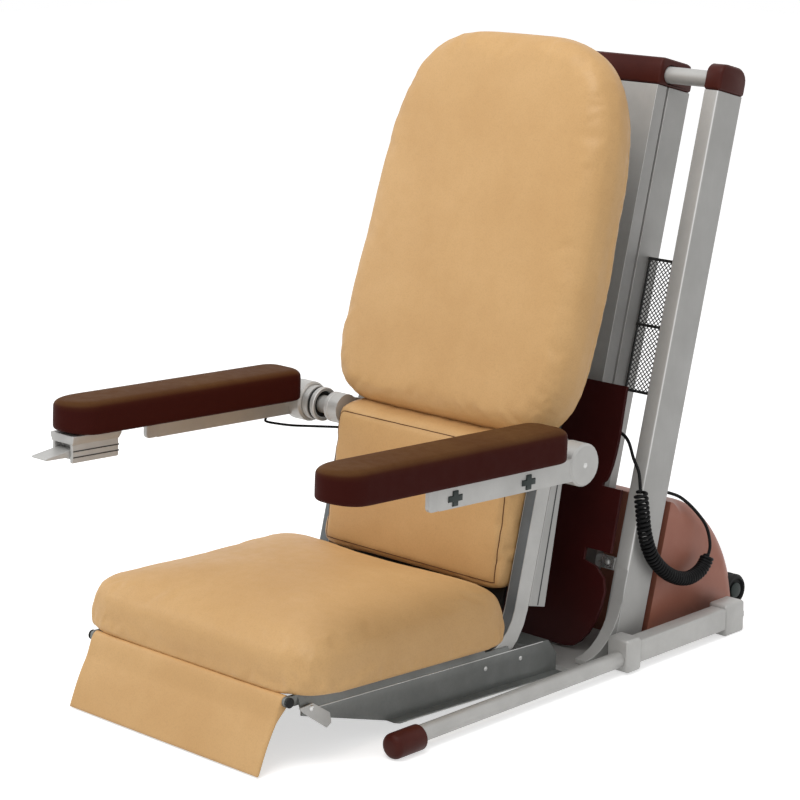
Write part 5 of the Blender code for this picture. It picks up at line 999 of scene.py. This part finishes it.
def puffed(name, mesh, air):
    # the closed form is remeshed evenly and blown up as cloth, held where it rests, and no point moves past the cap
    holder = bpy.data.objects.new(name + "Form", mesh)
    scene.collection.objects.link(holder)
    even = holder.modifiers.new("even", "REMESH")
    even.mode = "VOXEL"
    even.voxel_size = air["voxel"]
    remeshed = evaluatedMesh(holder)
    bpy.data.objects.remove(holder)
    start = placesOf(remeshed)
    cloth = bpy.data.objects.new(name + "Cloth", remeshed)
    scene.collection.objects.link(cloth)
    held = cloth.vertex_groups.new(name="held")
    held.add(np.flatnonzero(start[:, 2] < air["hold"]).tolist(), 1.0, "REPLACE")
    swell = cloth.modifiers.new("swell", "CLOTH")
    swell.settings.quality = 6
    swell.settings.shrink_min = -air["loose"]
    swell.settings.use_pressure = True
    swell.settings.uniform_pressure_force = air["pressure"]
    swell.settings.effector_weights.gravity = 0.0
    swell.settings.vertex_group_mass = "held"
    swell.point_cache.frame_start = 1
    swell.point_cache.frame_end = air["frames"]
    for step in range(1, air["frames"] + 1):
        scene.frame_set(step)
    after = evaluatedMesh(cloth)
    shift = placesOf(after) - start
    reach = np.maximum(np.linalg.norm(shift, axis=1), 1e-9)
    shift *= np.minimum(1.0, air["cap"] / reach)[:, None]
    bpy.data.objects.remove(cloth)
    bpy.data.meshes.remove(after)
    scene.frame_set(1)
    remeshed.vertices.foreach_set("co", (start + shift).ravel())
    remeshed.update()
    print("%s: swelled by up to %.1f mm" % (name, 1000.0 * float(np.linalg.norm(shift, axis=1).max())))
    return remeshed


def cushionPiece(name, node, form, toFrame):
    # toFrame turns the form's own (u, v, w) into chair places
    grid = slabGrid(form)
    mesh = meshOf(name, grid, gridFaces(*grid.shape[:2], False, True))
    mesh = puffed(name, mesh, form["air"])
    points = placesOf(mesh)
    points *= np.array(form["fit"]) / np.abs(points).max(axis=0)    # drawn out to the cover's cut size
    points, fold = form["shape"](points) if "shape" in form else (points, np.zeros(len(points)))
    mesh.vertices.foreach_set("co", toFrame(points).ravel())
    mesh.attributes.new("fold", "FLOAT", "POINT").data.foreach_set("value", fold)
    mesh.update()
    made = piece(name, mesh, "tan", nodes[node]["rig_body"], 180.0)
    subdivided(made)
    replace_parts(made, node)
    return made


# how deep the seat's top changes, from where and over how much; levels are heights where it fades in or out
seatTop = {
    "dip": 0.010, "dipHalf": 0.13, "dipFrom": 0.06, "dipRun": 0.15, "dipLevel": 0.06,
    "lap": 0.0022, "lapFront": (0.185, 0.205), "lapLevel": (0.0, 0.030), "lapHalf": (0.190, 0.205),
    "rise": 0.008, "riseFrom": -0.02, "riseRun": 0.20, "riseLevel": (0.03, 0.07),
}


def seatShape(points):
    # the crown rises to the rear and dips there in the middle, where the sitter's weight has drawn it, and the cover
    # laps down in front
    form = seatTop
    u, v, w = points.T
    dip = form["dip"] * np.exp(-(u / form["dipHalf"]) ** 2)
    dip *= np.clip((v - form["dipFrom"]) / form["dipRun"], 0.0, 1.0) ** 2
    dip *= np.clip(w / form["dipLevel"], 0.0, 1.0)
    lap = form["lap"] * smoothStep(-v, *form["lapFront"]) * (1.0 - smoothStep(w, *form["lapLevel"]))
    lap *= 1.0 - smoothStep(np.abs(u), *form["lapHalf"])
    rise = form["rise"] * np.clip((v - form["riseFrom"]) / form["riseRun"], 0.0, 1.0)
    rise *= smoothStep(w, *form["riseLevel"])
    return np.stack([u, v, w + rise - dip - lap], -1), np.zeros(len(points))


lumbarSeam = {"half": (0.1765, 0.1085), "corner": 0.010, "radius": 0.00075, "foot": -0.091, "ahead": 0.09}
lumbarFront = {
    "level": (0.022, 0.034), "press": 0.0013, "pressHalf": 0.0034, "shade": 0.20, "shadeHalf": 0.0030,
    "sweep": (0.055, 0.115), "sweepLevel": 0.045, "sweepUp": 0.026, "sweepBack": 0.016, "sweepShade": (0.95, 0.7),
    "drawnFrom": -0.03, "drawnShare": 0.785,
}


def lumbarShape(points):
    # pressed in along the seam round the front panel, the top swept up and back under the back cushion, and the lower
    # part drawn up so that a gap is left above the seat
    form = lumbarFront
    u, v, w = points.T
    inner = np.stack([lumbarSeam["half"][0] - np.abs(u), lumbarSeam["half"][1] - np.abs(v)])
    away = np.abs(inner.min(axis=0))
    front = smoothStep(w, *form["level"])
    swept = smoothStep(v, *form["sweep"]) * np.clip(1.0 - w / form["sweepLevel"], 0.0, 1.0)
    start = form["drawnFrom"]
    drawn = np.where(v < start, start + (v - start) * form["drawnShare"], v)
    pressed = w - form["press"] * np.exp(-(away / form["pressHalf"]) ** 2) * front
    dark, power = form["sweepShade"]
    # painted shade in the crease along the seam, and a deeper painted shade on the top where it tucks in under the back
    # cushion
    fold = form["shade"] * np.exp(-(away / form["shadeHalf"]) ** 2) * front
    fold = np.maximum(fold, dark * swept ** power)
    return np.stack([u, drawn + form["sweepUp"] * swept, pressed - form["sweepBack"] * swept], -1), fold


seatForm = {
    "half": (0.2400, 0.2165), "powers": (8.0, 8.0), "taper": 0.0, "count": 160, "lowEdge": 0.004, "highEdge": 0.026,
    "side": 0.066, "crown": 0.029, "swell": 0.002, "fill": 0.8, "shape": seatShape, "fit": (0.2475, 0.2190, 0.1020),
    "air": {"voxel": 0.006, "pressure": 4.0, "frames": 20, "cap": 0.006, "hold": 0.004, "loose": 0.012},
    "middle": 0.2075,
}
backForm = {
    "half": (0.2285, 0.2945), "powers": (3.5, 6.0), "taper": 0.0846, "count": 180, "lowEdge": 0.030, "highEdge": 0.026,
    "side": 0.078, "crown": 0.006, "swell": 0.002, "fill": 0.8, "fit": (0.2330, 0.3012, 0.0990),
    "air": {"voxel": 0.006, "pressure": 4.0, "frames": 20, "cap": 0.006, "hold": 0.004, "loose": 0.008},
    "middle": 0.2990,
}
lumbarForm = {
    "half": (0.1865, 0.1200), "powers": (14.0, 14.0), "taper": 0.0, "count": 140, "lowEdge": 0.004, "highEdge": 0.007,
    "side": 0.0385, "crown": 0.004, "swell": 0.0005, "fill": 0.9, "shape": lumbarShape, "fit": (0.1878, 0.1213, 0.0520),
    "air": {"voxel": 0.005, "pressure": 3.0, "frames": 14, "cap": 0.003, "hold": 0.003, "loose": 0.012},
    "middle": 0.1965, "depth": -0.1903, "wedge": (0.26, 0.1215),    # thicker by this share at this height
}


def seatPlace(points):
    # u across, v back, w up
    return placed("seat", points[:, 0], points[:, 1] + seatForm["middle"], points[:, 2])


def backPlace(points):
    # u across, v up, w forward
    return placed("back", points[:, 0], -points[:, 2], points[:, 1] + backForm["middle"])


def lumbarPlace(points):
    # the pad is a wedge, thicker towards its top
    share, height = lumbarForm["wedge"]
    thick = points[:, 2] * (1.0 + share * points[:, 1] / height)
    return placed("mast", points[:, 0], lumbarForm["depth"] - thick, points[:, 1] + lumbarForm["middle"])


cushionPiece("seatCushion", "seat_cushion", seatForm, seatPlace)
cushionPiece("backCushion", "back_cushion", backForm, backPlace)
lumbarPad = cushionPiece("lumbarPad", "lumbar_pad", lumbarForm, lumbarPlace)


def makeLumbarSeam():
    # a rounded rectangle dropped straight back onto the pad's front
    form = lumbarSeam
    width, height = (half - form["corner"] for half in form["half"])
    turn = quarterTurn(6)
    loop = []
    for u, v, halfTurns in ((width, height, 0.0), (-width, height, 0.5), (-width, -height, 1.0), (width, -height, 1.5)):
        angle = turn + halfTurns * math.pi
        loop.append(np.stack([u + form["corner"] * np.cos(angle), v + form["corner"] * np.sin(angle)], -1))
    loop = np.vstack(loop + [loop[0][:1]])
    loop[:, 1] = np.maximum(loop[:, 1], form["foot"])
    flat = evenly(np.column_stack([loop, np.zeros(len(loop))]), 181)[:-1]
    start = lumbarPlace(flat + np.array([0.0, 0.0, form["ahead"]]))
    back = lumbarPlace(flat) - start
    surface = BVHTree.FromObject(lumbarPad, bpy.context.evaluated_depsgraph_get())
    line = np.array([surface.ray_cast(Vector(a), Vector(b))[0] for a, b in zip(start, back)])
    piece("lumbarSeam", tubeMesh("lumbarSeam", line, form["radius"], 2, True), "seam", "carriage", 60.0)


lumbarGapShade = ((-0.176, 0.176), (-0.128, -0.080), (0.003, 0.009))    # across, up and out from the pad's rear


def makeLumbarGapShade():
    # a flat black strip behind the gap between the pad and the seat, a painted shade that makes the gap read dark
    corners = boxCorners(*lumbarGapShade)
    piece("lumbarGapShade", meshOf("lumbarGapShade", lumbarPlace(corners), boxFaces(1)), "rubber", "carriage", 30.0)


makeLumbarSeam()
makeLumbarGapShade()
print("cushions stuffed")


# arm pads
armPad = {
    "x": 0.274, "half": 0.040, "front": -0.509, "rear": -0.047, "bottom": 0.013, "thick": 0.051, "nose": 0.050,
    "chamfer": 0.020, "edge": 0.006, "dome": 0.013, "lift": 0.006, "fill": 0.95, "topFacing": (0.15, 0.85),
    "cornerShare": 0.9, "roundShare": (0.9, 0.92), "sideStart": 0.25, "crown": 0.08, "crownShare": 0.85,
    "footShare": 0.9,
}


def padOutline(form, inset):
    # round nose, straight sides, cut rear corners, all drawn in by the inset
    half = form["half"] - inset
    front, rear = form["front"] + inset, form["rear"] - inset
    chamfer = form["chamfer"]
    turn = np.linspace(0.0, math.pi, 33)
    nose = np.stack([-half * np.cos(turn), front + form["nose"] - form["nose"] * np.sin(turn)], -1)
    side = np.linspace(front + form["nose"], rear - chamfer, 25)[1:]
    right = np.stack([np.full(24, half), side], -1)
    bend = quarterTurn(7)[1:]
    drawn = half - chamfer * (1.0 - np.cos(bend)) * form["cornerShare"]
    corner = np.stack([drawn, rear - chamfer + chamfer * np.sin(bend)], -1)
    back = np.stack([np.linspace(corner[-1, 0], -corner[-1, 0], 8)[1:-1], np.full(6, rear)], -1)
    flip = np.array([-1.0, 1.0])
    return np.vstack([nose, right, corner, back, corner[::-1] * flip, right[::-1] * flip])


def makeArmPads():
    # a small lower round, an upright side, a domed upper round, then a foot and a crown drawn in to the middle line
    form = armPad
    dome, thick, edge = form["dome"], form["thick"], form["edge"]
    bend = quarterTurn(6)
    across, up = form["roundShare"]
    inset = np.concatenate([edge * (1.0 - np.sin(bend)), [0.0, 0.0], dome * (1.0 - np.cos(bend[1:])) * across])
    upper = thick - dome + dome * up * np.sin(bend[1:])
    level = np.concatenate([edge * (1.0 - np.cos(bend)), [thick * form["sideStart"], thick - dome], upper])
    outlines = [padOutline(form, drawn) for drawn in inset]
    rings = np.stack([np.column_stack([line, np.full(len(line), up)]) for line, up in zip(outlines, level)])
    middle = rings.mean(axis=1, keepdims=True) * np.array([0.0, 1.0, 1.0])
    shrink = np.linspace(form["crownShare"], 0.0, 8)[:, None, None]
    top = middle[-1:] + (rings[-1:] - middle[-1:]) * shrink
    top[:, :, 2] += dome * form["crown"] * (1.0 - shrink[:, :, 0] ** 2)
    foot = middle[:1] + (rings[:1] - middle[:1]) * np.linspace(0.0, form["footShare"], 4)[:, None, None]
    grid = np.concatenate([foot, rings, top])
    nose = np.clip((form["front"] + form["nose"] - grid[:, :, 1]) / form["nose"], 0.0, 1.0)
    grid[:, :, 2] += form["lift"] * nose ** 2 * (1.0 - grid[:, :, 2] / thick)
    for side, sign in sides:
        points = placed("arm", sign * form["x"] + grid[:, :, 0], grid[:, :, 1], form["bottom"] + grid[:, :, 2])
        made = gridPiece("armPad" + side.capitalize(), points, "pad", "arm_" + side, False, True, 60.0)
        # how far each point looks up; the pad's finish gives the rest a painted shade
        normals = np.zeros(len(made.data.vertices) * 3)
        made.data.vertices.foreach_get("normal", normals)
        top = smoothStep(normals[2::3], *form["topFacing"])
        made.data.attributes.new("top", "FLOAT", "POINT").data.foreach_set("value", top)
        subdivided(made)
        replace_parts(made, "arm_pad_" + side)


makeArmPads()
print("arm pads moulded")


# leg flap: leather over a thin bowed board, thickened to a roll round its rod
legFlap = {
    "half": 0.200, "length": 0.1087, "thick": 0.005, "lean": math.radians(29.0), "bow": 0.004, "rod": (-0.006, -0.010),
    "roll": 0.0086, "swell": 0.036, "fill": 0.9, "ends": (0.0, 0.0007, 0.002), "inner": 0.005, "draw": 0.0016,
}


def makeLegFlap():
    # a bowed line thickened on both sides, closed by a half circle round the rod and carried across
    form = legFlap
    rod = placed("seat", 0.0, *form["rod"])[1:]
    share = np.linspace(0.0, 1.0, 61)
    along = np.array([-math.sin(form["lean"]), -math.cos(form["lean"])])
    across = np.array([along[1], -along[0]])
    line = rod + np.outer(share * form["length"], along) + np.outer(form["bow"] * np.sin(math.pi * share), across)
    heading = unit(np.gradient(line, axis=0))
    normal = np.stack([-heading[:, 1], heading[:, 0]], -1)
    thin = form["thick"] / 2
    half = thin + (form["roll"] - thin) * (1.0 - smoothStep(share * form["length"], 0.0, form["swell"]))
    half = half * np.sqrt(np.clip((1.0 - share) * form["length"] / thin, 0.0, 1.0)) ** 0.8
    turn = np.linspace(0.0, math.pi, 21)[1:-1]
    roll = rod + form["roll"] * (-np.outer(np.cos(turn), normal[0]) - np.outer(np.sin(turn), heading[0]))
    loop = np.vstack([line + normal * half[:, None], (line - normal * half[:, None])[-2::-1], roll])
    inner, ends = form["inner"], form["ends"]
    width = np.concatenate([ends, np.linspace(inner, 2 * form["half"] - inner, 70)])
    width = np.concatenate([width, 2 * form["half"] - width[2::-1]]) - form["half"]
    drawn = form["draw"] * np.clip(1.0 - (form["half"] - np.abs(width)) / ends[-1], 0.0, 1.0) ** 2
    outward = np.vstack([normal, -normal[-2::-1], (roll - rod) / form["roll"]])
    section = loop[None] - outward[None] * drawn[:, None, None]
    x = np.broadcast_to(width[:, None, None], (*section.shape[:2], 1))
    grid = np.concatenate([x, section], -1)
    made = cappedPiece("legFlap", grid, "tan", "flap", 50.0)
    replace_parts(made, "leg_flap")


makeLegFlap()
makeTrims()
print("leg flap covered, trims laid on")


# stage
stage = {
    "half": 9.0, "floorWhite": 0.8, "floorRough": 0.9, "glow": 0.58, "ambient": 0.55,
    "lamps": {    # place, aim, size, power
        "keyLight": ((0.56, -1.44, 3.88), (0.0, 0.0, 0.35), 2.0, 74.0),
        "fillLight": ((-2.6, -1.2, 1.6), (0.0, 0.0, 0.4), 1.8, 13.0),
    },
}


def seenRays(tree):
    # 1 for what the lens sees, also in a mirror or through a clear body, and 0 for light on other surfaces
    path = tree.nodes.new("ShaderNodeLightPath").outputs
    seen = calculated(tree, "MAXIMUM", path["Is Camera Ray"], path["Is Glossy Ray"])
    return calculated(tree, "MAXIMUM", seen, path["Is Transmission Ray"])


def makeStage():
    # a floor and a world that are white to the lens and dimmer as light, and two lamps
    scene.view_settings.view_transform = "Standard"
    half = stage["half"]
    mesh = bpy.data.meshes.new("floor")
    mesh.from_pydata(boxCorners([-half, half], [-half, half], [0.0]), [], [(0, 2, 3, 1)])
    floor = bpy.data.objects.new("floor", mesh)
    scene.collection.objects.link(floor)
    finish, tree, shader = newFinish("floorWhite")
    shader.inputs["Base Color"].default_value = (stage["floorWhite"],) * 3 + (1.0,)
    shader.inputs["Roughness"].default_value = stage["floorRough"]
    glow = calculated(tree, "MULTIPLY", seenRays(tree), stage["glow"])
    tree.links.new(glow, shader.inputs["Emission Strength"])
    shader.inputs["Emission Color"].default_value = (1.0, 1.0, 1.0, 1.0)
    mesh.materials.append(finish)

    world = bpy.data.worlds.new("studio")
    world.use_nodes = True
    scene.world = world
    tree = world.node_tree
    back = tree.nodes["Background"].inputs
    back["Color"].default_value = (1.0, 1.0, 1.0, 1.0)
    tree.links.new(ranged(tree, seenRays(tree), 0.0, 1.0, stage["ambient"], 1.0), back["Strength"])

    for name, (place, aim, size, power) in stage["lamps"].items():
        lamp = bpy.data.lights.new(name, "AREA")
        lamp.size = size
        lamp.energy = power
        holder = bpy.data.objects.new(name, lamp)
        holder.location = place
        toward = np.array(aim) - np.array(place)
        flat = math.hypot(toward[0], toward[1])
        holder.rotation_euler = (math.atan2(flat, -toward[2]), 0.0, math.atan2(-toward[0], toward[1]))
        scene.collection.objects.link(holder)


makeStage()
print("stage lit")
